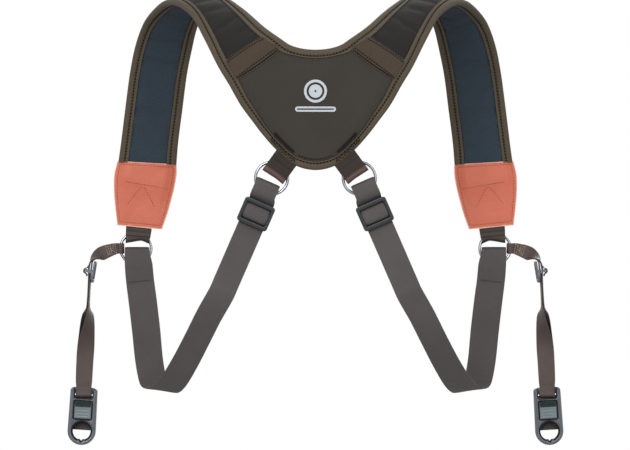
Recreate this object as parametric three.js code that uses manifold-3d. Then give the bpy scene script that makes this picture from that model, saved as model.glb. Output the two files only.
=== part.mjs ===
// Shoulder harness for binoculars: padded back plate and shoulder straps, elastic side straps
// and two quick-release connectors. Millimetres, +Z up, -Y behind the wearer.
// The origin lies on the mid-plane at the height where the straps cross the shoulders.
import * as THREE from 'three';
import { mergeVertices } from 'three/addons/utils/BufferGeometryUtils.js';
import Module from 'manifold-3d';

const wasm = await Module();
wasm.setup();

// ---------- driving dimensions ----------
const GAP = 0.3; // clearance between neighbouring pieces
const PLATE_BACK = -100; // outer face of the back plate
const PLATE_FRONT = -92; // inner face, which lies on the wearer's back
const COVER = 1.2; // outer fabric
const LINING = 1.2; // inner fabric
const BINDING = 5; // width of the edge binding
const BINDING_STEP = 0.6; // how much thinner the bound edge is, on each face
const PAD_THICK = 7.4; // padded strap, between its outer faces
const STRAP_STEPS = 22;

const BAND_THICK = 1.3; // webbing sewn over each shoulder arm
const RING_RADIUS = 13.5; // to the middle of the wire
const RING_WIRE = 1.25; // wire radius
const TAB_THICK = 1.5;
const TAB_HOLE = 3.8; // clear depth of a webbing loop around a ring
const RING_ROOM = 0.4; // between a ring and the end of the loop's hole
const ELASTIC_THICK = 1.8;
const WEBBING_THICK = 1.2; // connector webbing
const WEBBING_WIDTH = 15;

const FRONT_RING = new THREE.Vector3(-157.8, 90, -212);
const BACK_RING = new THREE.Vector3(-36.5, -96, -152.4);
const BACK_RING_TILT = THREE.MathUtils.degToRad(3);
const BADGE = { z: -80, radius: 10, thick: 0.4, barWidth: 34, barHeight: 4.5, barZ: -95 };

// Adjuster on the elastic and slider on the connector webbing.
const ADJUSTER = {
  width: 27, height: 22, bar: 3.6, side: 2.9, post: 1.9, thick: 2.4, corner: 2.5, room: 0.45, place: 32.5,
};
const SLIDER = {
  width: 19.6, height: 19, bar: 3, side: 2.2, post: 1.8, thick: 2, corner: 1.6, room: 1.35, place: 10.5,
  lean: THREE.MathUtils.degToRad(6),
};

// Quick-release connector, measured from the middle of its metal bar.
const CONNECTOR = {
  tilt: THREE.MathUtils.degToRad(3.5), width: 24.5, thick: 8, top: 6.6, ringZ: -31.6, ringHole: 9.1,
  corner: 3.5, slotWidth: 17, slotFloor: -3.6, slotBack: 0.9, barRadius: 1.25,
  windowWidth: 15.6, windowTop: -5.2, windowBottom: -21.2, windowDepth: 6, shoulder: 4, notch: 1.8,
};
const CONNECTOR_BAR = new THREE.Vector3(-203, 82, -340.3);

// ---------- colours ----------
const finish = (color, roughness, metalness = 0) => ({ color, roughness, metalness });
const LOOK = {
  plateFabric: finish(0x3f3d39, 0.9),
  foam: finish(0x55534e, 0.95),
  mesh: finish(0x2b3a48, 0.95),
  binding: finish(0x4f4537, 0.9),
  webbing: finish(0x5a4a3b, 0.9),
  redBrown: finish(0x553a35, 0.85),
  elastic: finish(0x4f4a49, 0.9),
  leather: finish(0xd9694a, 0.6),
  steel: finish(0xc9ccd0, 0.25, 1),
  blackPlastic: finish(0x1d2226, 0.5),
  greyPlastic: finish(0x9a9ba8, 0.5),
  housing: finish(0x3c4752, 0.45),
  button: finish(0x7f9493, 0.5),
  print: finish(0xd8d8d6, 0.6),
};

const model = new THREE.Group();

function addPart(name, geometry, look) {
  const mesh = new THREE.Mesh(geometry, new THREE.MeshStandardMaterial(look));
  mesh.name = name;
  model.add(mesh);
}

// Adds a piece drawn on the wearer's left, and its mirror image on the right.
function addPair(name, geometry, look) {
  addPart(`${name}_left`, geometry, look);
  addPart(`${name}_right`, mirrored(geometry), look);
}

// ---------- geometry helpers ----------
function plain(geometry) {
  const bare = geometry.clone();
  bare.deleteAttribute('normal');
  bare.deleteAttribute('uv');
  return mergeVertices(bare, 1e-4);
}

// Turns every triangle over, so that the faces point the other way.
function turnedOver(geometry) {
  const index = geometry.index.array;
  for (let i = 0; i < index.length; i += 3) {
    [index[i], index[i + 1]] = [index[i + 1], index[i]];
  }
  return geometry;
}

function mirrored(geometry) {
  return turnedOver(plain(geometry).scale(-1, 1, 1));
}

function toSolid(geometry) {
  const bare = plain(geometry);
  return new wasm.Manifold(new wasm.Mesh({
    numProp: 3,
    vertProperties: new Float32Array(bare.attributes.position.array),
    triVerts: new Uint32Array(bare.index.array),
  }));
}

function toGeometry(solid) {
  const mesh = solid.getMesh();
  const geometry = new THREE.BufferGeometry();
  geometry.setAttribute('position', new THREE.BufferAttribute(mesh.vertProperties, 3));
  geometry.setIndex(new THREE.BufferAttribute(mesh.triVerts, 1));
  return geometry;
}

function cut(geometry, ...tools) {
  return toGeometry(tools.reduce((solid, tool) => solid.subtract(toSolid(tool)), toSolid(geometry)));
}

function join(...geometries) {
  return toGeometry(geometries.map(toSolid).reduce((whole, piece) => whole.add(piece)));
}

// Closed body through rings of corners, all with the same count, capped at both ends.
// Opposite faces are split along matching diagonals, so that twisted layers stay parallel.
function loft(rings) {
  const count = rings[0].length;
  const corners = rings.flat().flatMap((point) => point.toArray());
  const index = [];
  for (let r = 0; r + 1 < rings.length; r += 1) {
    for (let i = 0; i < count; i += 1) {
      const a = r * count + i;
      const b = r * count + ((i + 1) % count);
      if (i < count / 2) {
        index.push(a, b, b + count, a, b + count, a + count);
      } else {
        index.push(a, b, a + count, b, b + count, a + count);
      }
    }
  }
  const last = (rings.length - 1) * count;
  for (let i = 1; i + 1 < count; i += 1) {
    index.push(0, i + 1, i);
    index.push(last, last + i, last + i + 1);
  }
  const geometry = new THREE.BufferGeometry();
  geometry.setAttribute('position', new THREE.Float32BufferAttribute(corners, 3));
  geometry.setIndex(index);
  return toSolid(geometry).volume() < 0 ? turnedOver(geometry) : geometry;
}

function box(width, depth, height, x = 0, y = 0, z = 0) {
  return new THREE.BoxGeometry(width, depth, height).translate(x, y, z);
}

// Extrudes an outline drawn in X and Z between two depths.
function slab(shape, yFrom, yTo) {
  const options = { depth: yTo - yFrom, bevelEnabled: false, curveSegments: 8 };
  const geometry = new THREE.ExtrudeGeometry(shape, options);
  return geometry.rotateX(Math.PI / 2).translate(0, yTo, 0);
}

function roundedRectangle(width, height, radius, centreZ = 0) {
  const x = width / 2 - radius;
  const z = height / 2 - radius;
  const shape = new THREE.Shape();
  shape.absarc(x, centreZ + z, radius, 0, Math.PI / 2);
  shape.absarc(-x, centreZ + z, radius, Math.PI / 2, Math.PI);
  shape.absarc(-x, centreZ - z, radius, Math.PI, 1.5 * Math.PI);
  shape.absarc(x, centreZ - z, radius, 1.5 * Math.PI, 2 * Math.PI);
  shape.closePath();
  return shape;
}

// Turns local axes (across, normal, along) at a point into a matrix for a piece drawn in X, Y, Z.
function placement(point, across, along) {
  const x = across.clone().normalize();
  const z = along.clone().normalize();
  const y = new THREE.Vector3().crossVectors(z, x).normalize();
  z.crossVectors(x, y);
  return new THREE.Matrix4().makeBasis(x, y, z).setPosition(point);
}

// ---------- padded shoulder strap ----------
// Pairs of edge points, outer edge then neck edge, from the back plate over the shoulder to the chest.
const STRAP_EDGES = [
  [[-70.9, -96, -75.8], [-27.5, -96, -37.7]],
  [[-74, -95.2, -70.6], [-31.3, -94.8, -35]],
  [[-80.3, -89.5, -60.3], [-41.4, -84, -27.5]],
  [[-93.4, -67, -34.5], [-58.7, -52, -11.5]],
  [[-105, -42, -14], [-76.0, -12, 2.0]],
  [[-119, -14, -2.5], [-82, 12, 6.5]],
  [[-130, 13, -1], [-90, 34, 3]],
  [[-140, 39, -6], [-98, 50, -7]],
  [[-149.5, 60, -16], [-104, 64, -21]],
  [[-157, 75, -34], [-108.5, 76, -38]],
  [[-162, 84, -56], [-113, 84, -59]],
  [[-166.5, 88, -88], [-117.2, 88, -90]],
  [[-170.6, 88, -121], [-121, 88, -120]],
  [[-172.7, 88, -136.4], [-122.5, 88, -138.6]],
].map((pair) => pair.map((point) => new THREE.Vector3(...point)));

const OUTER_EDGE = new THREE.CatmullRomCurve3(STRAP_EDGES.map((pair) => pair[0]));
const NECK_EDGE = new THREE.CatmullRomCurve3(STRAP_EDGES.map((pair) => pair[1]));

// Section between two edge points: inset is measured along the width from each edge, depth along
// the normal, which points away from the wearer.
function sheetSection(outer, neck, along, from, to, depthFrom, depthTo) {
  const middle = outer.clone().add(neck).multiplyScalar(0.5);
  const across = neck.clone().sub(outer);
  const half = across.length() / 2;
  across.normalize();
  const away = new THREE.Vector3().crossVectors(across, along).normalize();
  const corner = (distance, depth) => middle.clone()
    .addScaledVector(across, distance)
    .addScaledVector(away, depth);
  const left = from < 0 ? half + from : -half + from;
  const right = to > 0 ? -half + to : half + to;
  return [corner(left, depthFrom), corner(right, depthFrom), corner(right, depthTo), corner(left, depthTo)];
}

function strapSection(t, from, to, depthFrom, depthTo) {
  const along = OUTER_EDGE.getTangent(t).add(NECK_EDGE.getTangent(t));
  return sheetSection(OUTER_EDGE.getPoint(t), NECK_EDGE.getPoint(t), along, from, to, depthFrom, depthTo);
}

// A layer of the strap. from and to are insets: positive from the outer edge, negative from the neck.
function strapLayer(from, to, depthFrom, depthTo, start = 0, end = 1, steps = STRAP_STEPS) {
  const rings = [];
  for (let i = 0; i <= steps; i += 1) {
    const t = start + ((end - start) * i) / steps;
    rings.push(strapSection(t, from, to, depthFrom, depthTo));
  }
  return loft(rings);
}

const HALF = PAD_THICK / 2;
const INSET = BINDING + GAP;
addPair('strap_cover', strapLayer(INSET, -INSET, HALF - COVER, HALF), LOOK.plateFabric);
addPair('strap_foam', strapLayer(INSET, -INSET, LINING + GAP - HALF, HALF - COVER - GAP), LOOK.foam);
addPair('strap_lining', strapLayer(INSET, -INSET, -HALF, LINING - HALF), LOOK.mesh);
const EDGE_HALF = HALF - BINDING_STEP;
addPair('strap_binding_outer', strapLayer(0, BINDING, -EDGE_HALF, EDGE_HALF), LOOK.binding);
addPair('strap_binding_neck', strapLayer(-BINDING, 0, -EDGE_HALF, EDGE_HALF), LOOK.binding);

// Webbing sewn slantwise over each arm: its neck end starts on the plate, its outer end on the strap.
const BAND = { outer: [0.008, 0.139], neck: [0.388, 0.875], steps: 4, lift: 0.65 };
const BAND_NECK_EDGE = new THREE.CatmullRomCurve3([
  [-19.2, -96, -42.6], [-23.4, -96, -40.6], [-27.5, -96, -37.7], [-31.3, -94.8, -35], [-41.4, -84, -27.5],
].map((point) => new THREE.Vector3(...point)));

function bandSection(_, i) {
  const share = i / BAND.steps;
  const outerT = THREE.MathUtils.lerp(...BAND.outer, share);
  const neckT = THREE.MathUtils.lerp(...BAND.neck, share);
  const along = OUTER_EDGE.getTangent(outerT).add(BAND_NECK_EDGE.getTangent(neckT));
  const depth = HALF + BAND.lift;
  return sheetSection(OUTER_EDGE.getPoint(outerT), BAND_NECK_EDGE.getPoint(neckT), along,
    INSET, -INSET, depth, depth + BAND_THICK);
}
addPair('shoulder_band', loft(Array.from({ length: BAND.steps + 1 }, bandSection)), LOOK.webbing);

// ---------- back plate ----------
// Left half of the outline, from the bottom round the outer edge to the arm, and along the neck.
const PLATE_LOWER = new THREE.SplineCurve([
  [0, -145.3], [-8.5, -144.4], [-17.1, -141.2], [-24.2, -136.2], [-32.4, -128.6], [-44.1, -115.5],
  [-53.1, -103.7], [-62.2, -91.6], [-70.2, -77],
].map((point) => new THREE.Vector2(...point)));
const PLATE_NECK = new THREE.SplineCurve([
  [-27, -39.2], [-18.8, -43], [-7.7, -45.4], [0, -45.7],
].map((point) => new THREE.Vector2(...point)));

function mirrorPoints(points) {
  return points.map((point) => new THREE.Vector2(-point.x, point.y)).reverse();
}

// The whole edge from one arm to the other.
const lowerLeft = PLATE_LOWER.getPoints(16);
const lowerEdge = [...lowerLeft.slice(1).reverse(), ...mirrorPoints(lowerLeft).reverse()];
const neckLeft = PLATE_NECK.getPoints(5);
const neckEdge = [...neckLeft.slice(0, -1), ...mirrorPoints(neckLeft)];

// Moves a line of points sideways, to its left in X and Z.
function offsetLine(points, distance) {
  return points.map((point, i) => {
    const before = points[Math.max(i - 1, 0)];
    const after = points[Math.min(i + 1, points.length - 1)];
    const along = after.clone().sub(before).normalize();
    return new THREE.Vector2(point.x - along.y * distance, point.y + along.x * distance);
  });
}

function layerOutline(inset) {
  const lower = offsetLine(lowerEdge, inset);
  const neck = offsetLine(neckEdge, -inset);
  return new THREE.Shape([...lower, ...neck.reverse()]);
}

function bindingOutline(points, width) {
  return new THREE.Shape([...points, ...offsetLine(points, width).reverse()]);
}

const coverFront = PLATE_BACK + COVER;
const liningBack = PLATE_FRONT - LINING;
const fabric = layerOutline(INSET);
addPart('plate_cover', slab(fabric, PLATE_BACK, coverFront), LOOK.plateFabric);
addPart('plate_foam', slab(fabric, coverFront + GAP, liningBack - GAP), LOOK.foam);
addPart('plate_lining', slab(fabric, liningBack, PLATE_FRONT), LOOK.mesh);
const lowerBinding = bindingOutline(lowerEdge, BINDING);
const neckBinding = bindingOutline(neckEdge, -BINDING);
const bindingDepths = [PLATE_BACK + BINDING_STEP, PLATE_FRONT - BINDING_STEP];
addPart('plate_binding_lower', slab(lowerBinding, ...bindingDepths), LOOK.binding);
addPart('plate_binding_neck', slab(neckBinding, ...bindingDepths), LOOK.binding);

// Plain printed badge: a disc over a bar.
const badgeFront = PLATE_BACK - GAP;
const disc = new THREE.CylinderGeometry(BADGE.radius, BADGE.radius, BADGE.thick, 24);
addPart('badge_disc', disc.translate(0, badgeFront - BADGE.thick / 2, BADGE.z), LOOK.print);
const bar = box(BADGE.barWidth, BADGE.thick, BADGE.barHeight, 0, badgeFront - BADGE.thick / 2, BADGE.barZ);
addPart('badge_bar', bar, LOOK.print);

// ---------- leather end caps ----------
// Leather folded over the end of each strap: outline points at rising depth of fold.
const CAP_SECTIONS = [
  { left: [-173.4, -137], right: [-122.6, -139.2], thick: 9.4 },
  { left: [-176.2, -157], right: [-124, -158], thick: 9 },
  { left: [-175.2, -172], right: [-128.5, -174], thick: 7.4 },
  { left: [-173.4, -191.4], right: [-135.2, -194.6], thick: 5 },
];
const CAP_Y = 88.6;
addPair('end_cap', loft(CAP_SECTIONS.map(({ left, right, thick }) => {
  const corner = ([x, z], side) => new THREE.Vector3(x, CAP_Y + side * (thick / 2), z);
  return [corner(left, -1), corner(right, -1), corner(right, 1), corner(left, 1)];
})), LOOK.leather);

// ---------- webbing loops around the rings ----------
// A loop drawn with its ring at the origin and its fold below it: width along X, hole along Y.
// top is where the loop joins what carries it; fold is its lowest inner point.
function webbingLoop(width, thick, top, holeTop, fold) {
  const outerDepth = TAB_HOLE + 2 * thick;
  const height = top - fold + thick;
  const body = roundedSide(outerDepth, top, top - height, width);
  const hole = roundedSide(TAB_HOLE, holeTop, fold, width + 2);
  return cut(body, hole);
}

// Stadium-shaped bar across X, square at the top when it is the outer body.
function roundedSide(depth, top, bottom, width) {
  const radius = depth / 2;
  const shape = new THREE.Shape();
  shape.moveTo(-radius, top);
  shape.lineTo(-radius, bottom + radius);
  shape.absarc(0, bottom + radius, radius, Math.PI, 2 * Math.PI);
  shape.lineTo(radius, top);
  shape.closePath();
  const options = { depth: width, bevelEnabled: false, curveSegments: 6 };
  return new THREE.ExtrudeGeometry(shape, options)
    .rotateX(Math.PI / 2)
    .rotateZ(Math.PI / 2)
    .translate(-width / 2, 0, 0);
}

// A ring faces backwards; a tilt brings its lower edge forwards.
function ringGeometry(centre, tilt) {
  const torus = new THREE.TorusGeometry(RING_RADIUS, RING_WIRE, 6, 28);
  return torus.rotateX(Math.PI / 2 + tilt).translate(centre.x, centre.y, centre.z);
}
addPair('front_ring', ringGeometry(FRONT_RING, 0), LOOK.steel);
addPair('back_ring', ringGeometry(BACK_RING, BACK_RING_TILT), LOOK.steel);

const holeTop = RING_RADIUS + RING_WIRE + RING_ROOM;
const FRONT_TAB = { width: 20.4, top: 17, fold: 5, shift: 0.9 };
const frontTab = webbingLoop(FRONT_TAB.width, TAB_THICK, FRONT_TAB.top, holeTop, FRONT_TAB.fold);
frontTab.translate(FRONT_RING.x + FRONT_TAB.shift, FRONT_RING.y, FRONT_RING.z);
addPair('front_ring_tab', frontTab, LOOK.webbing);

// The back tab leans outwards, so it is drawn upright and then turned about the ring's middle.
const BACK_TAB = { width: 21, top: 19.2, fold: 2, lean: THREE.MathUtils.degToRad(-36), setBack: 0.4 };
const backTab = webbingLoop(BACK_TAB.width, TAB_THICK, BACK_TAB.top, holeTop, BACK_TAB.fold);
backTab.rotateY(-BACK_TAB.lean).translate(BACK_RING.x, BACK_RING.y - BACK_TAB.setBack, BACK_RING.z);
addPair('back_ring_tab', backTab, LOOK.redBrown);

// ---------- elastic side strap ----------
// The stretch that carries the adjuster is straight: it runs on from the back ring, down and forwards.
const STRETCH = {
  from: new THREE.Vector3(-36.5, -97.2, -152.4),
  along: new THREE.Vector3(-0.395, 0.174, -0.902).normalize(),
  across: new THREE.Vector3(0.902, 0, -0.395),
  width: 22,
};
const stretchStop = (distance) => ({
  at: STRETCH.from.clone().addScaledVector(STRETCH.along, distance),
  across: STRETCH.across,
  width: STRETCH.width,
});
const STRETCH_STOPS = [106, 98, 90, 74, 58, 42, 28, 18].map(stretchStop);

const toStop = ({ at, across, width }) => ({
  at: new THREE.Vector3(...at), across: new THREE.Vector3(...across), width,
});

// Middle line from the front ring down, round under the arm and up to the back ring.
const ELASTIC_ROUTE = [
  { at: [-155.6, 90, -229.5], across: [1, 0, 0.06], width: 23.4 },
  { at: [-154, 89.8, -240], across: [1, 0, 0.06], width: 24.4 },
  { at: [-152, 88.9, -256], across: [1, 0, 0.07], width: 24.6 },
  { at: [-148.7, 86.5, -283], across: [1, 0, 0.08], width: 24.6 },
  { at: [-145.6, 81, -311], across: [0.98, -0.05, 0.12], width: 24.4 },
  { at: [-142, 72, -327], across: [0.96, -0.02, 0.02], width: 24 },
  { at: [-137, 59, -333.8], across: [0.94, 0.08, -0.1], width: 23.6 },
  { at: [-131, 43, -334], across: [0.93, 0.12, -0.2], width: 23.4 },
  { at: [-123, 18, -327], across: [0.91, 0.14, -0.32], width: 23 },
  { at: [-112, -15, -310], across: [0.9, 0.15, -0.39], width: 22.4 },
  { at: [-99.8, -47, -287.5], across: [0.91, 0.16, -0.39], width: 22 },
  { at: [-89.2, -67, -267], across: [0.91, 0.12, -0.38], width: 22 },
].map(toStop).concat(STRETCH_STOPS);

// Strip of even thickness along a route, with its width direction eased from stop to stop.
function strip(route, thick, steps) {
  const middle = new THREE.CatmullRomCurve3(route.map((stop) => stop.at));
  const turning = new THREE.CatmullRomCurve3(route.map((stop) => stop.across));
  const widths = new THREE.CatmullRomCurve3(route.map((stop) => new THREE.Vector3(stop.width)));
  const rings = [];
  for (let i = 0; i <= steps; i += 1) {
    const t = i / steps;
    const along = middle.getTangent(t);
    const across = turning.getPoint(t);
    across.addScaledVector(along, -across.dot(along)).normalize();
    const face = new THREE.Vector3().crossVectors(across, along).multiplyScalar(thick / 2);
    const side = across.multiplyScalar(widths.getPoint(t).x / 2);
    const at = middle.getPoint(t);
    rings.push([[-1, -1], [1, -1], [1, 1], [-1, 1]].map(([a, b]) => at.clone()
      .addScaledVector(side, a)
      .addScaledVector(face, b)));
  }
  return loft(rings);
}

const FRONT_LOOP = { width: 21.4, joint: 19, fold: 1.9, shift: 1.1 };
const frontLoop = webbingLoop(FRONT_LOOP.width, ELASTIC_THICK, FRONT_LOOP.joint, holeTop, FRONT_LOOP.fold);
frontLoop.rotateY(Math.PI).translate(FRONT_RING.x + FRONT_LOOP.shift, FRONT_RING.y, FRONT_RING.z);

// The upper end is folded over the back ring and stitched to itself just above the adjuster.
const BACK_LOOP = { width: 20.4, joint: 19.6, fold: 5.3, shift: -1 };
const backLoop = webbingLoop(BACK_LOOP.width, ELASTIC_THICK, BACK_LOOP.joint, holeTop, BACK_LOOP.fold);
backLoop.rotateY(Math.PI).translate(BACK_LOOP.shift, 0, 0)
  .applyMatrix4(placement(STRETCH.from, STRETCH.across, STRETCH.along.clone().negate()));
const elasticStrip = strip(ELASTIC_ROUTE, ELASTIC_THICK, 52);
addPair('elastic_strap', join(frontLoop, elasticStrip, backLoop), LOOK.elastic);

// ---------- buckles ----------
// Three-bar buckle whose middle bar is set back, so that the strap lies between the bars. room is
// the space between the bars and the strap.
function threeBarBuckle({ width, height, bar: barWidth, side, post, thick, corner, room }, strapThick) {
  const frame = slab(roundedRectangle(width, height, corner), -thick, 0);
  const clear = strapThick / 2 + room;
  const window = box(width - 2 * side, thick * 3, height - 2 * barWidth);
  const open = cut(frame, window).translate(0, -clear, 0);
  const middleBar = box(width, thick, barWidth, 0, clear + thick / 2, 0);
  const reach = 2 * clear + 2 * thick;
  const posts = [-1, 1].map((end) => {
    const x = end * (width / 2 - post / 2);
    return box(post, reach, barWidth, x, 0, 0);
  });
  return join(open, middleBar, ...posts);
}

const adjusterStop = stretchStop(ADJUSTER.place);
const adjuster = threeBarBuckle(ADJUSTER, ELASTIC_THICK)
  .applyMatrix4(placement(adjusterStop.at, STRETCH.across, STRETCH.along.clone().negate()));
addPair('adjuster', adjuster, LOOK.blackPlastic);

// ---------- connector webbing ----------
// The slider's stretch is straight and seen edge-on from behind.
const HANG = {
  from: new THREE.Vector3(-197.3, 86.8, -221.5),
  along: new THREE.Vector3(-0.05, -0.06, -0.997).normalize(),
  across: new THREE.Vector3(0, 1, 0),
  width: WEBBING_WIDTH,
};
const hangStop = (distance) => ({
  at: HANG.from.clone().addScaledVector(HANG.along, distance), across: HANG.across, width: HANG.width,
});
const BAR_LOOP_WIDTH = 13; // the webbing is pinched round the connector's bar
const CONNECTOR_ROUTE = [
  ...[
    { at: [-176.2, 90, -212.4], across: [0, 0, 1], width: 9 },
    { at: [-180.5, 90, -214], across: [0, 0.1, 1], width: 12 },
    { at: [-186.5, 89.6, -215], across: [0, 0.45, 0.9], width: 13 },
    { at: [-192, 88.6, -216], across: [0.1, 0.85, 0.5], width: 14.4 },
    { at: [-196.2, 87.4, -218], across: [0, 1, 0.1], width: 15 },
  ].map(toStop),
  ...[0, 5, 14, 24, 34, 42].map(hangStop),
  ...[
    { at: [-199.9, 83.8, -276], across: [0.5, 0.86, 0], width: WEBBING_WIDTH },
    { at: [-200.7, 83, -290], across: [0.82, 0.57, 0], width: WEBBING_WIDTH },
    { at: [-202, 82.3, -308], across: [1, 0.1, 0], width: WEBBING_WIDTH },
    { at: [-203, 82, -333.4], across: [1, 0, 0], width: BAR_LOOP_WIDTH },
  ].map(toStop),
];
const DOUBLED_THICK = 2 * WEBBING_THICK; // two layers lie face to face

// Webbing folded round a bar along X at the origin: a round eye, with the doubled webbing going up.
function webbingEye({ hole, width, reach }) {
  const eye = new THREE.CylinderGeometry(hole + WEBBING_THICK, hole + WEBBING_THICK, width, 16);
  const inside = new THREE.CylinderGeometry(hole, hole, width + 2, 12);
  const doubled = box(width, DOUBLED_THICK, reach, 0, 0, reach / 2);
  return cut(join(eye.rotateZ(Math.PI / 2), doubled), inside.rotateZ(Math.PI / 2));
}

// Around the outer side of the front ring, whose wire curves away from the eye's axis.
const RING_EYE = { hole: 2.35, width: 9, reach: 5.2 };
const ringEye = webbingEye(RING_EYE).rotateY(-Math.PI / 2);
ringEye.translate(FRONT_RING.x - RING_RADIUS, FRONT_RING.y, FRONT_RING.z);

// Around the connector's metal bar, at the lower end of the webbing.
const BAR_EYE = { hole: 1.6, width: BAR_LOOP_WIDTH, reach: 9.7 };
const barEye = webbingEye(BAR_EYE);
toConnectorPlace(barEye);

const webbing = join(ringEye, strip(CONNECTOR_ROUTE, DOUBLED_THICK, 44), barEye);
addPair('connector_webbing', webbing, LOOK.redBrown);

// The webbing woven through the slider holds it at a slight lean.
const slider = threeBarBuckle(SLIDER, DOUBLED_THICK).rotateX(SLIDER.lean)
  .applyMatrix4(placement(hangStop(SLIDER.place).at, HANG.across, HANG.along.clone().negate()));
addPair('webbing_slider', slider, LOOK.greyPlastic);

// ---------- quick-release connector ----------
function connectorOutline() {
  const { width, top, ringZ, corner } = CONNECTOR;
  const half = width / 2;
  const shape = new THREE.Shape();
  shape.moveTo(half - corner, top);
  shape.absarc(corner - half, top - corner, corner, Math.PI / 2, Math.PI);
  shape.absarc(0, ringZ, half, Math.PI, 2 * Math.PI);
  shape.absarc(half - corner, top - corner, corner, 0, Math.PI / 2);
  shape.closePath();
  return shape;
}

// Ring opening: round, with two flat shoulders beside a small V at its lowest point.
function ringOpening() {
  const { ringHole, ringZ, shoulder, notch } = CONNECTOR;
  const floor = Math.sqrt(ringHole ** 2 - shoulder ** 2);
  const from = Math.atan2(-floor, shoulder);
  const shape = new THREE.Shape();
  shape.absarc(0, ringZ, ringHole, from, Math.PI - from);
  shape.lineTo(-notch, ringZ - floor);
  shape.lineTo(0, ringZ - floor - notch);
  shape.lineTo(notch, ringZ - floor);
  shape.closePath();
  return shape;
}

function toConnectorPlace(geometry) {
  return geometry.rotateY(CONNECTOR.tilt).translate(CONNECTOR_BAR.x, CONNECTOR_BAR.y, CONNECTOR_BAR.z);
}

const halfThick = CONNECTOR.thick / 2;
const slotHeight = CONNECTOR.top - CONNECTOR.slotFloor + 1;
// The mouth for the webbing is open to the outside and has a thin back wall.
const mouthDepth = CONNECTOR.thick + 1 - CONNECTOR.slotBack;
const mouthMiddle = halfThick - CONNECTOR.slotBack - mouthDepth / 2;
const mouth = box(CONNECTOR.slotWidth, mouthDepth, slotHeight,
  0, mouthMiddle, CONNECTOR.slotFloor + slotHeight / 2);
const windowHeight = CONNECTOR.windowTop - CONNECTOR.windowBottom;
const windowMiddle = (CONNECTOR.windowTop + CONNECTOR.windowBottom) / 2;
const pocket = slab(roundedRectangle(CONNECTOR.windowWidth, windowHeight, 1, windowMiddle),
  -halfThick - 1, -halfThick + CONNECTOR.windowDepth);
const shell = slab(connectorOutline(), -halfThick, halfThick);
const opening = slab(ringOpening(), -halfThick - 1, halfThick + 1);
addPair('connector_housing', toConnectorPlace(cut(shell, mouth, pocket, opening)), LOOK.housing);

const barLength = CONNECTOR.slotWidth - 2 * GAP;
const metalBar = new THREE.CylinderGeometry(CONNECTOR.barRadius, CONNECTOR.barRadius, barLength, 12);
addPair('connector_bar', toConnectorPlace(metalBar.rotateZ(Math.PI / 2)), LOOK.steel);

// Push button with a sloped upper part, standing a little proud of the housing.
const BUTTON = { clear: 0.4, proud: 0.6, thick: 3, slope: 4.5, slopeDepth: 1.4 };
const buttonTop = CONNECTOR.windowTop - BUTTON.clear;
const buttonBottom = CONNECTOR.windowBottom + BUTTON.clear;
const buttonFace = -halfThick - BUTTON.proud;
const buttonBack = buttonFace + BUTTON.thick;
const buttonHalf = CONNECTOR.windowWidth / 2 - BUTTON.clear;
const buttonSide = [
  [buttonFace + BUTTON.slopeDepth, buttonTop], [buttonFace, buttonTop - BUTTON.slope],
  [buttonFace, buttonBottom], [buttonBack, buttonBottom], [buttonBack, buttonTop],
];
const button = loft([-buttonHalf, buttonHalf].map((x) => buttonSide
  .map(([y, z]) => new THREE.Vector3(x, y, z))));
addPair('push_button', toConnectorPlace(button), LOOK.button);

// Coil spring behind the button, resting on the floor of the pocket.
class Coil extends THREE.Curve {
  constructor(radius, length, turns) {
    super();
    Object.assign(this, { radius, length, turns });
  }

  getPoint(t, target = new THREE.Vector3()) {
    const angle = 2 * Math.PI * this.turns * t;
    return target.set(this.radius * Math.cos(angle), this.length * t, this.radius * Math.sin(angle));
  }
}
const SPRING = { radius: 3.4, wire: 0.35, turns: 2.5, segments: 3, steps: 24 };
const springRoom = -halfThick + CONNECTOR.windowDepth - buttonBack;
const springLength = springRoom - 2 * SPRING.wire - 2 * GAP;
const wireSection = new THREE.Shape();
wireSection.absarc(0, 0, SPRING.wire, 0, 2 * Math.PI);
const spring = new THREE.ExtrudeGeometry(wireSection, {
  extrudePath: new Coil(SPRING.radius, springLength, SPRING.turns),
  steps: SPRING.steps,
  curveSegments: SPRING.segments,
});
spring.translate(0, buttonBack + GAP + SPRING.wire, windowMiddle);
addPair('button_spring', toConnectorPlace(spring), LOOK.steel);

// Webbing tongue behind the housing, seen through the upper half of the ring.
const TONGUE = { width: 17.4, thick: 1.4, top: -6, bottom: -31 };
const tongueY = halfThick + GAP + TONGUE.thick / 2;
const tongue = box(TONGUE.width, TONGUE.thick, TONGUE.top - TONGUE.bottom, 0, tongueY,
  (TONGUE.top + TONGUE.bottom) / 2);
addPair('connector_tongue', toConnectorPlace(tongue), LOOK.redBrown);

export default model;
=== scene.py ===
"""Looks of the binocular harness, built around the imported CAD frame.

Lengths are in millimetres in the row frame and turned to metres when a mesh is made.
The harness is one long padded band, from the wearer's right cap over the plate to the left cap.
A place on it is a station number (0 in the middle of the plate, +-6 at the arms, +-19 at the caps)
and a distance inwards from its outer or neck edge.
"""
import math

import bmesh
import bpy
import numpy as np
from mathutils import Matrix, Vector
from mathutils.bvhtree import BVHTree


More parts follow.
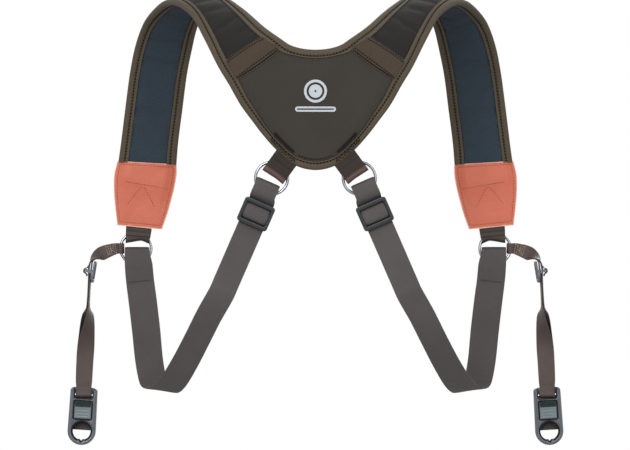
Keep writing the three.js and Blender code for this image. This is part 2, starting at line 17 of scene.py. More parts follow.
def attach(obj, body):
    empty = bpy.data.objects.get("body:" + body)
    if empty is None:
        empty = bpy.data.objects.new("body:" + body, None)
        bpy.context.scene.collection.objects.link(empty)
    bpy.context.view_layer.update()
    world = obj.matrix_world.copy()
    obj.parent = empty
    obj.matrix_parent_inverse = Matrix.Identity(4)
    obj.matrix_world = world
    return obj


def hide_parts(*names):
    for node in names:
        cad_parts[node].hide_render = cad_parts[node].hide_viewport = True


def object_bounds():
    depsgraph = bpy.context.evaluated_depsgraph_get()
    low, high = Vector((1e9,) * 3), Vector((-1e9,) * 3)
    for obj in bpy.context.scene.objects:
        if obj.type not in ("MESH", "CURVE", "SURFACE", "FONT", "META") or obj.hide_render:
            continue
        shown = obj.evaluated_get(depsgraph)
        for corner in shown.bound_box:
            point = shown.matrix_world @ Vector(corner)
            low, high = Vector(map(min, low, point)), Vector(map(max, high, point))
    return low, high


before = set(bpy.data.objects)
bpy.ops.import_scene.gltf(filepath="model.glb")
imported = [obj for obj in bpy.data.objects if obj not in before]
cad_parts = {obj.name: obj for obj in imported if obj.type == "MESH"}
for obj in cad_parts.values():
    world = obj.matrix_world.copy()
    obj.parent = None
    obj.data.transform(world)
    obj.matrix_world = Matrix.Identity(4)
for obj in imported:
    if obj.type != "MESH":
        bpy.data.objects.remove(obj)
cad_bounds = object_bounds()

MM = 0.001
SIDES = {"left": 1.0, "right": -1.0}
X, Y, _ = np.eye(3)

# ---------------------------------------------------------------- driving dimensions
PLATE_HALF = 4.0          # half the thickness of the back plate
STRAP_HALF = 3.7          # half the thickness of a padded strap
EDGE_HALF = 1.5           # half the thickness at a bound edge, under the binding
GROOVE = 5.2              # stitched groove of the binding, from the edge
TAPE_STATIONS = (0.0, 3.0, 5.0, 7.5, 11.0, 19.0)
TAPE_WIDTHS = (6.9, 6.9, 8.2, 9.3, 8.4, 8.4)   # width of the binding on each face, at those stations
TAPE = 0.7                # thickness of the binding tape
CLOTH = 0.9               # thickness of a cover
UNDER_TAPE = 1.4          # how far a cover runs in under the binding
ARM = 6.0                 # station where an arm leaves the plate
BAND_OUTER = (6.1, 7.8)   # stations of the webbing band across the arm, at the outer edge
BAND_NECK = (5.55, 7.5)   # and at the neck edge
CAP = 19.0                # station where the strap enters its leather cap
PAD_PARTS = (("plate", -6.3, 6.3), ("strap", 6.32, 19.0))   # stations where each cover starts and ends

FRONT_RING = np.array([-157.8, 90.0, -212.0])
BACK_RING = np.array([-36.5, -96.0, -152.4])
BACK_RING_TILT = math.radians(3)
RING_RADIUS, RING_WIRE = 13.5, 1.25
ELASTIC_THICK = 1.8
ADJUSTER = {"width": 27.0, "height": 22.0, "bar": 3.6, "side": 2.9, "post": 1.9, "thick": 2.4,
            "corner": 2.6, "room": 0.45, "place": 32.5}
SLIDER = {"width": 19.6, "height": 19.0, "bar": 3.0, "side": 2.2, "post": 1.8, "thick": 2.0,
          "corner": 1.6, "room": 1.35, "place": 10.5, "lean": math.radians(6)}
CONNECTOR_BAR = np.array([-203.0, 82.0, -340.3])
CONNECTOR_TILT = math.radians(3.5)
CONNECTOR_RING_Z = -31.6  # middle of the connector's ring, from its bar

# ---------------------------------------------------------------- curves


def unit(v):
    v = np.asarray(v, float)
    return v / np.maximum(np.linalg.norm(v, axis=-1, keepdims=True), 1e-12)


def through(points, t):
    """Centripetal Catmull-Rom curve through points; t counts points from 0."""
    p = np.asarray(points, float)
    last = len(p) - 1
    p = np.vstack([2 * p[0] - p[1], p, 2 * p[-1] - p[-2]])
    t = np.clip(np.asarray(t, float), 0, last)
    i = np.minimum(t.astype(int), last - 1)
    u = (t - i)[..., None]
    p0, p1, p2, p3 = p[i], p[i + 1], p[i + 2], p[i + 3]

    def gap(a, b):
        return np.maximum(np.sqrt(np.linalg.norm(b - a, axis=-1, keepdims=True)), 1e-6)

    d0, d1, d2 = gap(p0, p1), gap(p1, p2), gap(p2, p3)
    m1 = ((p1 - p0) / d0 - (p2 - p0) / (d0 + d1) + (p2 - p1) / d1) * d1
    m2 = ((p2 - p1) / d1 - (p3 - p1) / (d1 + d2) + (p3 - p2) / d2) * d1
    return p1 + u * (m1 + u * ((-3 * p1 + 3 * p2 - 2 * m1 - m2) + u * (2 * p1 - 2 * p2 + m1 + m2)))


def smooth(x):
    x = np.clip(x, 0, 1)
    return x * x * (3 - 2 * x)


def lengths(path):
    steps = np.linalg.norm(np.diff(path, axis=0), axis=1)
    return np.concatenate([[0], np.cumsum(steps)])


def circle(count):
    """Angles round a full turn, without repeating the first."""
    return np.linspace(0, 2 * math.pi, count, endpoint=False)


def resample(path, count):
    s = lengths(path)
    at = np.linspace(0, s[-1], count)
    return np.stack([np.interp(at, s, path[:, k]) for k in range(path.shape[1])], axis=1)


# Edge points of the left half, outer edge then neck edge, from the middle of the plate to the cap.
LEFT_EDGES = np.array([
    [[0, -96, -145.3], [0, -96, -45.7]],
    [[-17.1, -96, -141.2], [-5.2, -96, -45.5]],
    [[-32.4, -96, -128.6], [-10.4, -96, -44.9]],
    [[-44.1, -96, -115.5], [-15, -96, -43.9]],
    [[-53.1, -96, -103.7], [-19.2, -96, -42.6]],
    [[-62.2, -96, -91.2], [-23.4, -96, -40.6]],
    [[-70.9, -96, -75.8], [-27.5, -96, -37.7]],
    [[-74, -95.2, -70.6], [-31.3, -94.8, -35]],
    [[-80.3, -89.5, -60.3], [-41.4, -84, -27.5]],
    [[-93.4, -67, -34.5], [-58.7, -52, -11.5]],
    [[-105, -42, -14], [-76.0, -12, 2.0]],
    [[-119, -14, -2.5], [-82, 12, 6.5]],
    [[-130, 13, -1], [-90, 34, 3]],
    [[-140, 39, -6], [-98, 50, -7]],
    [[-149.5, 60, -16], [-104, 64, -21]],
    [[-157, 75, -34], [-108.5, 76, -38]],
    [[-162, 84, -56], [-113, 84, -59]],
    [[-166.5, 88, -88], [-117.2, 88, -90]],
    [[-170.6, 88, -121], [-121, 88, -120]],
    [[-172.7, 88, -136.4], [-122.5, 88, -138.6]],
], float)
MIRROR = np.array([-1.0, 1.0, 1.0])
EDGES = np.concatenate([(LEFT_EDGES * MIRROR)[:0:-1], LEFT_EDGES])


def station(s):
    """Outer edge point, unit direction across, width, and outward normal at stations s."""
    t = np.asarray(s, float) + CAP
    outer = through(EDGES[:, 0], t)
    neck = through(EDGES[:, 1], t)
    step = 0.02
    ahead = through(EDGES[:, 0], t + step) + through(EDGES[:, 1], t + step)
    behind = through(EDGES[:, 0], t - step) + through(EDGES[:, 1], t - step)
    across = neck - outer
    width = np.linalg.norm(across, axis=-1, keepdims=True)
    across = across / width
    normal = unit(np.cross(across, ahead - behind))
    return outer, across, width[..., 0], normal


def half_thickness(s, inward):
    """Half the pad's thickness at a distance inwards from the nearest edge."""
    full = PLATE_HALF + (STRAP_HALF - PLATE_HALF) * smooth((np.abs(s) - ARM) / 2)
    rise = smooth((inward - 1.0) / 13.0) ** 0.7
    return EDGE_HALF + (full - EDGE_HALF) * rise


def tape_width(s):
    return np.interp(np.abs(s), TAPE_STATIONS, TAPE_WIDTHS)


def cover_inset(s):
    """How far in from the pad's edge its covers begin."""
    return tape_width(s) - UNDER_TAPE


PUFF = {}  # how far the cloth simulation raised each cover: {(kind, side): grid of heights in mm}


def puff(s, distance, width, side):
    """Height that the simulation added to the cover at places on the pad."""
    if not PUFF:
        return 0.0
    inset = cover_inset(s)
    across = np.clip((distance - inset) / (width - 2 * inset), 0, 1)
    column = np.arccos(1 - 2 * across) / math.pi
    total = 0.0
    for kind, start, end in PAD_PARTS:
        grid = PUFF[kind, side]
        row = (np.abs(s) - start) / (end - start) if kind == "strap" else (s - start) / (end - start)
        inside = (row >= 0) & (row <= 1)
        r = np.clip(row, 0, 1) * (grid.shape[0] - 1)
        c = column * (grid.shape[1] - 1)
        i = np.minimum(r.astype(int), grid.shape[0] - 2)
        j = np.minimum(c.astype(int), grid.shape[1] - 2)
        u, v = r - i, c - j
        value = ((grid[i, j] * (1 - v) + grid[i, j + 1] * v) * (1 - u)
                 + (grid[i + 1, j] * (1 - v) + grid[i + 1, j + 1] * v) * u)
        total = total + np.where(inside, value, 0.0)
    return total


def on_pad(s, distance, side, lift=0.0):
    """Points on the pad's surface. side is +1 outside and -1 against the wearer."""
    outer, across, width, normal = station(s)
    inward = np.minimum(distance, width - distance)
    height = side * (half_thickness(s, inward) + puff(s, distance, width, side) + lift)
    return outer + across * distance[..., None] + normal * height[..., None]


# ---------------------------------------------------------------- meshes
def make(name, verts, faces, uv, mat, sharp=42.0):
    """A mesh object from millimetre vertices, faces, and one UV pair (in mm) per vertex."""
    mesh = bpy.data.meshes.new(name)
    mesh.from_pydata((np.asarray(verts, float) * MM).tolist(), [], [list(map(int, f)) for f in faces])
    if uv is not None:
        layer = mesh.uv_layers.new(name="UVMap")
        index = np.empty(len(mesh.loops), int)
        mesh.loops.foreach_get("vertex_index", index)
        layer.data.foreach_set("uv", np.asarray(uv, np.float32)[index].ravel())
    bm = bmesh.new()
    bm.from_mesh(mesh)
    bmesh.ops.remove_doubles(bm, verts=bm.verts, dist=1e-7)
    bmesh.ops.recalc_face_normals(bm, faces=bm.faces)
    bm.to_mesh(mesh)
    bm.free()
    mesh.materials.append(mat)
    mesh.shade_smooth()
    mesh.set_sharp_from_angle(angle=math.radians(sharp))
    obj = bpy.data.objects.new(name, mesh)
    bpy.context.scene.collection.objects.link(obj)
    return obj


def place(obj, body, slot, *nodes, fill=None):
    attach(obj, body)
    if nodes:
        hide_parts(*nodes)
    return obj


def slab(top, bottom, uv):
    """Closed body between two grids of points of the same shape."""
    rows, cols = top.shape[:2]
    index = np.arange(rows * cols).reshape(rows, cols)
    quads = np.stack([index[:-1, :-1], index[1:, :-1], index[1:, 1:], index[:-1, 1:]], -1).reshape(-1, 4)
    under = quads[:, ::-1] + rows * cols
    rim = np.concatenate([index[0, :-1], index[:-1, -1], index[-1, :0:-1], index[:0:-1, 0]])
    after = np.roll(rim, -1)
    walls = np.stack([rim, after, after + rows * cols, rim + rows * cols], -1)
    verts = np.concatenate([top.reshape(-1, 3), bottom.reshape(-1, 3)])
    return verts, np.concatenate([quads, under, walls]), np.concatenate([uv.reshape(-1, 2)] * 2)


def sweep(rings, uv_rings, closed=False):
    """Body through rings of points (n, k, 3), capped at its ends unless it closes on itself."""
    n, k = rings.shape[:2]
    index = np.arange(n * k).reshape(n, k)
    nxt = np.roll(index, -1, axis=1)
    faces = np.stack([index[:-1], nxt[:-1], nxt[1:], index[1:]], -1).reshape(-1, 4).tolist()
    if closed:
        faces += np.stack([index[-1], nxt[-1], nxt[0], index[0]], -1).reshape(-1, 4).tolist()
    else:
        faces += [index[0, ::-1].tolist(), index[-1].tolist()]
    return rings.reshape(-1, 3), faces, uv_rings.reshape(-1, 2)


def plain_uv(rings):
    """UVs for a piece whose material doesn't use them."""
    return np.zeros(rings.shape[:2] + (2,))


def band_uv(s_grid, d_grid):
    """UVs of the pad: length along its middle line, and distance from the outer edge."""
    line = on_pad(s_grid[:, 0], np.full(len(s_grid), 20.0), 1)
    along = lengths(line)
    return np.stack([np.repeat(along[:, None], s_grid.shape[1], 1), d_grid], -1)


def pad_layer(s_from, s_to, per_station, columns, side, inner_lift, outer_lift, inset=None):
    """Layer of the padded band on one face, between two lifts above the foam."""
    s = np.linspace(s_from, s_to, int(abs(s_to - s_from) * per_station) + 1)
    width = station(s)[2]
    inset = (cover_inset(s) if inset is None else np.full(len(s), inset))[:, None]
    fractions = 0.5 - 0.5 * np.cos(np.linspace(0, math.pi, columns))
    distance = inset + fractions[None, :] * (width[:, None] - 2 * inset)
    grid = np.repeat(s[:, None], columns, 1)
    top = on_pad_grid(grid, distance, side, outer_lift)
    bottom = on_pad_grid(grid, distance, side, inner_lift)
    return top, bottom, grid, distance


def on_pad_grid(grid, distance, side, lift):
    shape = grid.shape
    return on_pad(grid.ravel(), distance.ravel(), side, lift).reshape(*shape, 3)


# ---------------------------------------------------------------- materials
def shader(name):
    mat = bpy.data.materials.new(name)
    mat.use_nodes = True
    tree = mat.node_tree
    return mat, tree, tree.nodes["Principled BSDF"]


def add(tree, kind, inputs=None, **settings):
    """A node, with its settings, and its inputs set to a value or linked from a socket."""
    node = tree.nodes.new(kind)
    for key, value in settings.items():
        setattr(node, key, value)
    for key, value in (inputs or {}).items():
        if isinstance(value, bpy.types.NodeSocket):
            tree.links.new(value, node.inputs[key])
        else:
            node.inputs[key].default_value = value
    return node


def math_node(tree, operation, a, b=0.0, c=0.5):
    return add(tree, "ShaderNodeMath", {0: a, 1: b, 2: c}, operation=operation).outputs[0]


def noise(tree, at, scale, detail, **more):
    """Noise from 0 to 1; scale is in waves per metre."""
    inputs = {"Vector": at, "Scale": scale, "Detail": detail, **more}
    return add(tree, "ShaderNodeTexNoise", inputs).outputs["Fac"]


def ranged(tree, value, inputs, **settings):
    return add(tree, "ShaderNodeMapRange", {"Value": value, **inputs}, **settings).outputs[0]


def bump_up(tree, bsdf, strength, distance, height):
    """Bump from a height of 0 to 1; distance is in millimetres."""
    bump = add(tree, "ShaderNodeBump", {"Strength": strength, "Distance": distance * MM, "Height": height})
    tree.links.new(bump.outputs[0], bsdf.inputs["Normal"])


def object_place(tree):
    return add(tree, "ShaderNodeTexCoord").outputs["Object"]


def mix_colour(tree, factor, a, b, blend="MIX"):
    node = add(tree, "ShaderNodeMix", data_type="RGBA", blend_type=blend)
    for key, value in (("Factor", factor), ("A", a), ("B", b)):
        socket = next(s for s in node.inputs if s.name == key and s.enabled and s.type != "VECTOR"
                      and (key == "Factor" or s.type == "RGBA"))
        if isinstance(value, bpy.types.NodeSocket):
            tree.links.new(value, socket)
        else:
            socket.default_value = value
    return next(s for s in node.outputs if s.enabled and s.type == "RGBA")


def colour(hexcode, gain=1.0):
    """Linear colour of an sRGB hex code."""
    parts = [int(hexcode[i:i + 2], 16) / 255 for i in (0, 2, 4)]
    linear = [p / 12.92 if p <= 0.04045 else ((p + 0.055) / 1.055) ** 2.4 for p in parts]
    return (*[min(1.0, p * gain) for p in linear], 1.0)


def uv_axes(tree):
    """The two UV coordinates, in millimetres."""
    uv = add(tree, "ShaderNodeTexCoord").outputs["UV"]
    split = add(tree, "ShaderNodeSeparateXYZ", {0: uv})
    return split.outputs[0], split.outputs[1]


def wave(tree, coordinate, pitch, phase=0.0):
    """Sine of a coordinate with a pitch in millimetres, from -1 to 1."""
    return math_node(tree, "SINE", math_node(tree, "MULTIPLY_ADD", coordinate, 2 * math.pi / pitch, phase))


def weave_height(tree, style, pitch):
    """Height of a weave from 0 to 1."""
    u, v = uv_axes(tree)
    if style == "plain":
        product = math_node(tree, "MULTIPLY", wave(tree, u, pitch), wave(tree, v, pitch))
        return math_node(tree, "MULTIPLY_ADD", product, 0.5, 0.5)
    if style == "rib":
        ridge = math_node(tree, "ABSOLUTE", wave(tree, u, 2 * pitch))
        fine = math_node(tree, "ABSOLUTE", wave(tree, v, pitch))
        return math_node(tree, "ADD", math_node(tree, "MULTIPLY", ridge, 0.75),
                         math_node(tree, "MULTIPLY", fine, 0.25))
    if style == "webbing":
        ridge = math_node(tree, "ABSOLUTE", wave(tree, v, 2.6 * pitch))
        pick = math_node(tree, "ABSOLUTE", wave(tree, u, 1.2 * pitch))
        return math_node(tree, "MULTIPLY", math_node(tree, "POWER", ridge, 0.6),
                         math_node(tree, "MULTIPLY_ADD", pick, 0.45, 0.55))
    # air mesh: rows of round holes, offset row by row
    holes = math_node(tree, "MULTIPLY", wave(tree, u, pitch), wave(tree, v, pitch * 1.35))
    total = math_node(tree, "MULTIPLY_ADD", holes, 0.9, 0.55)
    return math_node(tree, "MINIMUM", math_node(tree, "MAXIMUM", total, 0.0), 1.0)


def painted_hollow_shade(tree, reach=130.0, darkest=0.2):
    """Share of the colour left: painted shade from ambient occlusion, which makes cloth darker down in its
    hollows than out in the open.
    """
    hollow = add(tree, "ShaderNodeAmbientOcclusion", {"Distance": reach * MM}, samples=6).outputs["AO"]
    return ranged(tree, hollow, {"From Min": 0.5, "From Max": 0.94, "To Min": darkest, "To Max": 1.0})


def cloth(name, base, dark, style, pitch, depth=0.12, rough=0.9, sheen=0.04, shade=0.55, patch=0.18,
          fuzz=0.25, gloss=0.1, wear_and_highlight=None):
    """Woven or knitted cloth: weave in colour and bump with painted shade in its grooves, slow tonal patches,
    loose fibres, and painted shade in its hollows.

    wear_and_highlight is a (middle, reach, hexcode): a band of that colour is painted round a run length, a
    painted highlight where the cloth catches the light at a fold."""
    mat, tree, bsdf = shader(name)
    height = weave_height(tree, style, pitch)
    at = object_place(tree)
    slow = noise(tree, at, 26.0, 3.0, Roughness=0.6)
    fine = noise(tree, at, 900.0, 2.0)
    # The weave's low places take the dark colour: painted shade in the grooves of the weave.
    factor = math_node(tree, "MULTIPLY_ADD", math_node(tree, "SUBTRACT", 1.0, height), shade, 0.0)
    woven = mix_colour(tree, factor, colour(base), colour(dark))
    # A lighter band round a run length: painted highlight where the tab's satin fold catches the light.
    if wear_and_highlight:
        middle, reach, hexcode = wear_and_highlight
        away = math_node(tree, "ABSOLUTE", math_node(tree, "SUBTRACT", uv_axes(tree)[0], middle))
        painted_band = ranged(tree, away, {"From Min": reach, "From Max": reach * 0.6, "To Max": 0.85},
                        interpolation_type="SMOOTHSTEP")
        woven = mix_colour(tree, painted_band, woven, colour(hexcode))
    patchy = math_node(tree, "MULTIPLY_ADD", slow, 2 * patch, 1.0 - patch)
    speck = math_node(tree, "MULTIPLY_ADD", fine, fuzz, 1.0 - fuzz / 2)
    # gain darkens the cloth by random patches and fibres, and by painted shade in its hollows.
    gain = math_node(tree, "MULTIPLY", math_node(tree, "MULTIPLY", patchy, speck), painted_hollow_shade(tree))
    grey = add(tree, "ShaderNodeCombineColor", {0: gain, 1: gain, 2: gain}).outputs[0]
    tree.links.new(mix_colour(tree, 1.0, woven, grey, "MULTIPLY"), bsdf.inputs["Base Color"])
    tree.links.new(math_node(tree, "MULTIPLY_ADD", slow, 0.12, rough - 0.06), bsdf.inputs["Roughness"])
    relief = math_node(tree, "ADD", height, math_node(tree, "MULTIPLY", fine, 0.35))
    bump_up(tree, bsdf, 0.9, depth, relief)
    bsdf.inputs["Sheen Weight"].default_value = sheen
    bsdf.inputs["Sheen Roughness"].default_value = 0.5
    bsdf.inputs["Specular IOR Level"].default_value = gloss
    return mat


def edge_wear_and_highlight(tree, low, high, most):
    """Share of the paler edge colour: grows from 0 to most over the sharpest edges; on leather it is wear, on
    plastic partly wear and partly painted highlight.
    """
    edge = add(tree, "ShaderNodeNewGeometry").outputs["Pointiness"]
    return ranged(tree, edge, {"From Min": low, "From Max": high, "To Max": most})


def leather(name, base, dark, light):
    """Fine pebbled leather: cells, pores, tonal drift, and lighter edges where it wears."""
    mat, tree, bsdf = shader(name)
    at = object_place(tree)
    cells = add(tree, "ShaderNodeTexVoronoi", {"Vector": at, "Scale": 900.0}, feature="DISTANCE_TO_EDGE")
    grain = noise(tree, at, 1500.0, 3.0)
    drift = noise(tree, at, 45.0, 4.0)
    crease = noise(tree, at, 120.0, 5.0, Distortion=1.2)
    tone = mix_colour(tree, drift, colour(dark), colour(base))
    wear_and_highlight = edge_wear_and_highlight(tree, 0.515, 0.58, 0.7)
    tree.links.new(mix_colour(tree, wear_and_highlight, tone, colour(light)), bsdf.inputs["Base Color"])
    cell = ranged(tree, cells.outputs["Distance"], {"From Max": 0.25})
    relief = math_node(tree, "ADD", math_node(tree, "MULTIPLY", cell, 0.6),
                       math_node(tree, "MULTIPLY", grain, 0.4))
    relief = math_node(tree, "ADD", relief, math_node(tree, "MULTIPLY", crease, 1.6))
    bump_up(tree, bsdf, 0.55, 0.16, relief)
    tree.links.new(ranged(tree, crease, {"To Min": 0.48, "To Max": 0.68}), bsdf.inputs["Roughness"])
    bsdf.inputs["Specular IOR Level"].default_value = 0.45
    return mat


def plastic(name, base, light, rough=0.42, grain=0.05, specular=0.5):
    """Moulded plastic: fine spark-eroded grain, faint drift of gloss, and paler edges that are partly wear
    and partly painted highlight.
    """
    mat, tree, bsdf = shader(name)
    at = object_place(tree)
    spark = noise(tree, at, 2200.0, 2.0)
    drift = noise(tree, at, 160.0, 4.0)
    # Paler sharp edges: partly wear, partly painted highlight along the edges.
    wear_and_highlight = math_node(tree, "MULTIPLY", edge_wear_and_highlight(tree, 0.52, 0.61, 0.8), drift)
    tree.links.new(mix_colour(tree, wear_and_highlight, colour(base), colour(light)), bsdf.inputs["Base Color"])
    gloss = ranged(tree, drift, {"To Min": rough - 0.08, "To Max": rough + 0.1})
    tree.links.new(gloss, bsdf.inputs["Roughness"])
    bump_up(tree, bsdf, 0.5, grain, spark)
    bsdf.inputs["Specular IOR Level"].default_value = specular
    return mat


def steel(name, base, rough=0.22):
    """Polished wire with drawing marks and a few dull spots."""
    mat, tree, bsdf = shader(name)
    at = object_place(tree)
    marks = noise(tree, at, 700.0, 4.0)
    spots = noise(tree, at, 140.0, 3.0)
    tree.links.new(mix_colour(tree, spots, colour(base), colour(base, 0.72)), bsdf.inputs["Base Color"])
    gloss = ranged(tree, spots, {"To Min": rough - 0.08, "To Max": rough + 0.14})
    tree.links.new(gloss, bsdf.inputs["Roughness"])
    bump_up(tree, bsdf, 0.3, 0.03, marks)
    bsdf.inputs["Metallic"].default_value = 1.0
    return mat


def thread(name, base):
    """Twisted sewing thread."""
    mat, tree, bsdf = shader(name)
    u, v = uv_axes(tree)
    twist = math_node(tree, "ABSOLUTE", wave(tree, math_node(tree, "ADD", u, v), 0.8))
    tree.links.new(mix_colour(tree, twist, colour(base, 0.55), colour(base)), bsdf.inputs["Base Color"])
    bump_up(tree, bsdf, 0.6, 0.05, twist)
    bsdf.inputs["Roughness"].default_value = 0.7
    bsdf.inputs["Specular IOR Level"].default_value = 0.1
    return mat


PLATE_CLOTH = cloth("plate_cloth", "2d2a26", "1c1a17", "plain", 0.7, depth=0.05, shade=0.45)
ARM_CLOTH = cloth("arm_cloth", "1a1816", "0f0f0f", "plain", 0.7, depth=0.05, shade=0.45)
MESH_CLOTH = cloth("mesh_cloth", "29333b", "101419", "mesh", 1.7, depth=0.25, shade=0.6)
TAPE_CLOTH = cloth("tape_cloth", "463e33", "1f1b14", "rib", 1.0, depth=0.14, shade=0.75)
BAND_CLOTH = cloth("band_cloth", "3c332a", "191411", "webbing", 1.0, depth=0.2, shade=0.8)
TAB_CLOTH = cloth("tab_cloth", "281e17", "120d0a", "rib", 1.1, depth=0.14, shade=0.6, rough=0.5,
                  gloss=0.25)
# The back tab has a lighter band near its fold: painted highlight on the satin.
BACK_TAB_CLOTH = cloth("back_tab_cloth", "231b17", "120e0c", "rib", 1.1, depth=0.14, shade=0.6, rough=0.5,
                       gloss=0.1, wear_and_highlight=(27.2, 8.0, "4a3935"))
RED_CLOTH = cloth("red_brown_cloth", "352824", "181211", "rib", 0.9, depth=0.12, shade=0.6, rough=0.5,
                  gloss=0.3)
ELASTIC_CLOTH = cloth("elastic_cloth", "454141", "282525", "webbing", 0.75, depth=0.1, shade=0.6)
FOAM = cloth("foam_cells", "55534e", "3a3936", "plain", 0.8, depth=0.2)
LEATHER = leather("orange_leather", "9d4c34", "8d3f28", "b0765e")
RAW_LEATHER = leather("cut_leather", "b07a66", "9c6350", "c49684")
DARK_THREAD = thread("dark_thread", "0d0b08")
TAPE_THREAD = thread("tape_thread", "4c4437")
ORANGE_THREAD = thread("orange_thread", "8a452e")
TAN_THREAD = thread("tan_thread", "857563")
ELASTIC_THREAD = thread("elastic_thread", "322f2f")
STEEL = steel("polished_steel", "8c8e93", 0.24)
BAR_STEEL = steel("brushed_bar", "c4c6ca", 0.32)
# Each plastic's second colour is that of its paler edges: partly wear, partly painted highlight.
BLACK_PLASTIC = plastic("black_plastic", "0e1113", "565e66", 0.36, specular=0.4)
GREY_PLASTIC = plastic("grey_plastic", "2d303c", "6f738c", 0.4)
SHELL_PLASTIC = plastic("shell_plastic", "282d33", "8a91a0", 0.34)
BUTTON_PLASTIC = plastic("button_plastic", "414c50", "5f6b70", 0.45)
# Colour of a thin dark sheet over the button's sloped top: painted shade.
SLOPE_SHADE_SHEET = plastic("button_slope_painted_shade", "0a1211", "131e1d", 0.55, specular=0.15)
# Black for the rim round the button's window and the ring's liner: partly the liner's own black, partly
# painted shade of the gap round the button and of the ring's inner wall.
RUBBER_AND_SHADE = plastic("black_rubber_and_shade", "070809", "14171a", 0.6, specular=0.12)
PRINT = plastic("print_ink", "7f8489", "8d9298", 0.6, 0.08)


# ---------------------------------------------------------------- stitches
def stitch_rings():
    """Unit stitch along X: rings of a thread that dips at both ends."""
    profile = [(-0.5, 0.25, -0.9), (-0.4, 0.85, -0.2), (-0.15, 1.0, 0.25), (0.15, 1.0, 0.25),
               (0.4, 0.85, -0.2), (0.5, 0.25, -0.9)]
    rings = [[(x, size * math.cos(a), size * math.sin(a) + lift) for a in circle(6)]
             for x, size, lift in profile]
    return np.array(rings)


STITCH = stitch_rings()


def stitches(name, lines, mat, pitch=3.0, length=2.2, radius=0.3):
    """One mesh of separate stitches along lines; each line is (path, normals)."""
    verts, faces, uvs = [], [], []
    for path, normals in lines:
        count = max(1, int(round(lengths(path)[-1] / pitch)))
        both = resample(np.hstack([path, normals]), 2 * count + 1)
        middles, ups = both[1::2, :3], unit(both[1::2, 3:])
        ahead = unit(both[2::2, :3] - both[:-1:2, :3])
        side = unit(np.cross(ups, ahead))
        for middle, x, y, z in zip(middles, ahead, side, np.cross(ahead, side)):
            basis = np.stack([x * length, y * radius, z * radius])
            ring = STITCH.reshape(-1, 3) @ basis + middle
            v, f, uv = sweep(ring.reshape(STITCH.shape), STITCH[..., :2] * [length, radius])
            faces += [[i + len(verts) * STITCH.shape[0] * STITCH.shape[1] for i in face] for face in f]
            verts.append(v)
            uvs.append(uv)
    return make(name, np.concatenate(verts), faces, np.concatenate(uvs), mat, sharp=80)


def pad_line(s_from, s_to, distance, side, lift, from_neck=False):
    """A line on the pad at a fixed distance from an edge, with its normals."""
    s = np.linspace(s_from, s_to, int(abs(s_to - s_from) * 24) + 2)
    _, _, width, normal = station(s)
    away = width - distance if from_neck else np.full(len(s), float(distance))
    return on_pad(s, away, side, lift), normal * side


# ---------------------------------------------------------------- padded plate and straps
SIM_FRAMES = 20
SIM_PRESSURE = 25.0
SIM_SPARE = 0.015   # share by which the cloth is bigger than the pad, which puckers it along its seams
SIM_CAP = 0.9       # most that a cover may rise, in mm


def simulate_pads():
    """Blows each pad up as a closed bag of cloth held at its seams, and keeps the heights in PUFF."""
    grids = {}
    for kind, start, end in PAD_PARTS:
        faces = {side: pad_layer(start, end, 12, 26, side, -CLOTH, 0.0) for side in (1, -1)}
        top, bottom = faces[1][0], faces[-1][0]
        verts, quads, _ = slab(top, bottom, top[..., :2])
        mesh = bpy.data.meshes.new("bag")
        outward = quads[:, ::-1]   # the pressure pushes towards the side that a face is seen from
        mesh.from_pydata((verts * MM).tolist(), [], outward.tolist())
        bag = bpy.data.objects.new("bag", mesh)
        bpy.context.scene.collection.objects.link(bag)
        rows, columns = top.shape[:2]
        held = np.zeros((rows, columns), bool)
        held[:2], held[-2:], held[:, :2], held[:, -2:] = True, True, True, True
        group = bag.vertex_groups.new(name="held")
        group.add(np.flatnonzero(np.concatenate([held.ravel()] * 2)).tolist(), 1.0, "REPLACE")
        cloth_mod = bag.modifiers.new("cloth", "CLOTH")
        settings = cloth_mod.settings
        settings.vertex_group_mass = "held"
        settings.use_pressure = True
        settings.uniform_pressure_force = SIM_PRESSURE
        settings.shrink_min = -SIM_SPARE
        settings.bending_stiffness = 2.0
        settings.effector_weights.gravity = 0.0
        cloth_mod.collision_settings.use_collision = False
        for number in range(1, SIM_FRAMES + 1):
            bpy.context.scene.frame_set(number)
        shape = bag.evaluated_get(bpy.context.evaluated_depsgraph_get())
        moved = np.empty(len(mesh.vertices) * 3)
        shape.data.vertices.foreach_get("co", moved)
        moved = moved.reshape(2, rows, columns, 3) / MM
        for side, before, after in ((1, top, moved[0]), (-1, bottom, moved[1])):
            normal = station(faces[side][2][:, 0])[3][:, None] * side
            rise = np.sum((after - before) * normal, axis=-1)
            grids[kind, side] = SIM_CAP * np.tanh(rise / SIM_CAP)
        bpy.data.objects.remove(bag)
        bpy.data.meshes.remove(mesh)
        bpy.context.scene.frame_set(1)
    PUFF.update(grids)


simulate_pads()


def build_pads():
    plate, strap_part = PAD_PARTS
    parts = [("plate", plate[1], plate[2], "", PLATE_CLOTH, 18)]
    parts += [("strap", sign * strap_part[1], sign * strap_part[2], "_" + side, ARM_CLOTH, 14)
              for side, sign in SIDES.items()]
    for kind, start, end, suffix, cover_mat, density in parts:
        for layer, side, mat, slot in (("cover", 1, cover_mat, "dark_fabric"),
                                       ("lining", -1, MESH_CLOTH, "mesh_lining")):
            top, bottom, s, d = pad_layer(start, end, density, 26, side, -CLOTH, 0.0)
            obj = make(f"{kind}_{layer}{suffix}", *slab(top, bottom, band_uv(s, d)), mat)
            place(obj, "harness", slot, f"{kind}_{layer}{suffix}", fill=0.7)
            if (kind, layer) == ("plate", "cover"):
                plate_cover = obj
        top, _, s, d = pad_layer(start, end, 6, 14, 1, 0.0, -CLOTH - 0.2, inset=2.0)
        bottom = pad_layer(start, end, 6, 14, -1, 0.0, -CLOTH - 0.2, inset=2.0)[0]
        foam = make(f"{kind}_foam{suffix}", *slab(top, bottom, band_uv(s, d)), FOAM)
        place(foam, "harness", "foam", f"{kind}_foam{suffix}", fill=0.8)
    mesh = plate_cover.data
    return BVHTree.FromPolygons([v.co for v in mesh.vertices], [face.vertices for face in mesh.polygons])


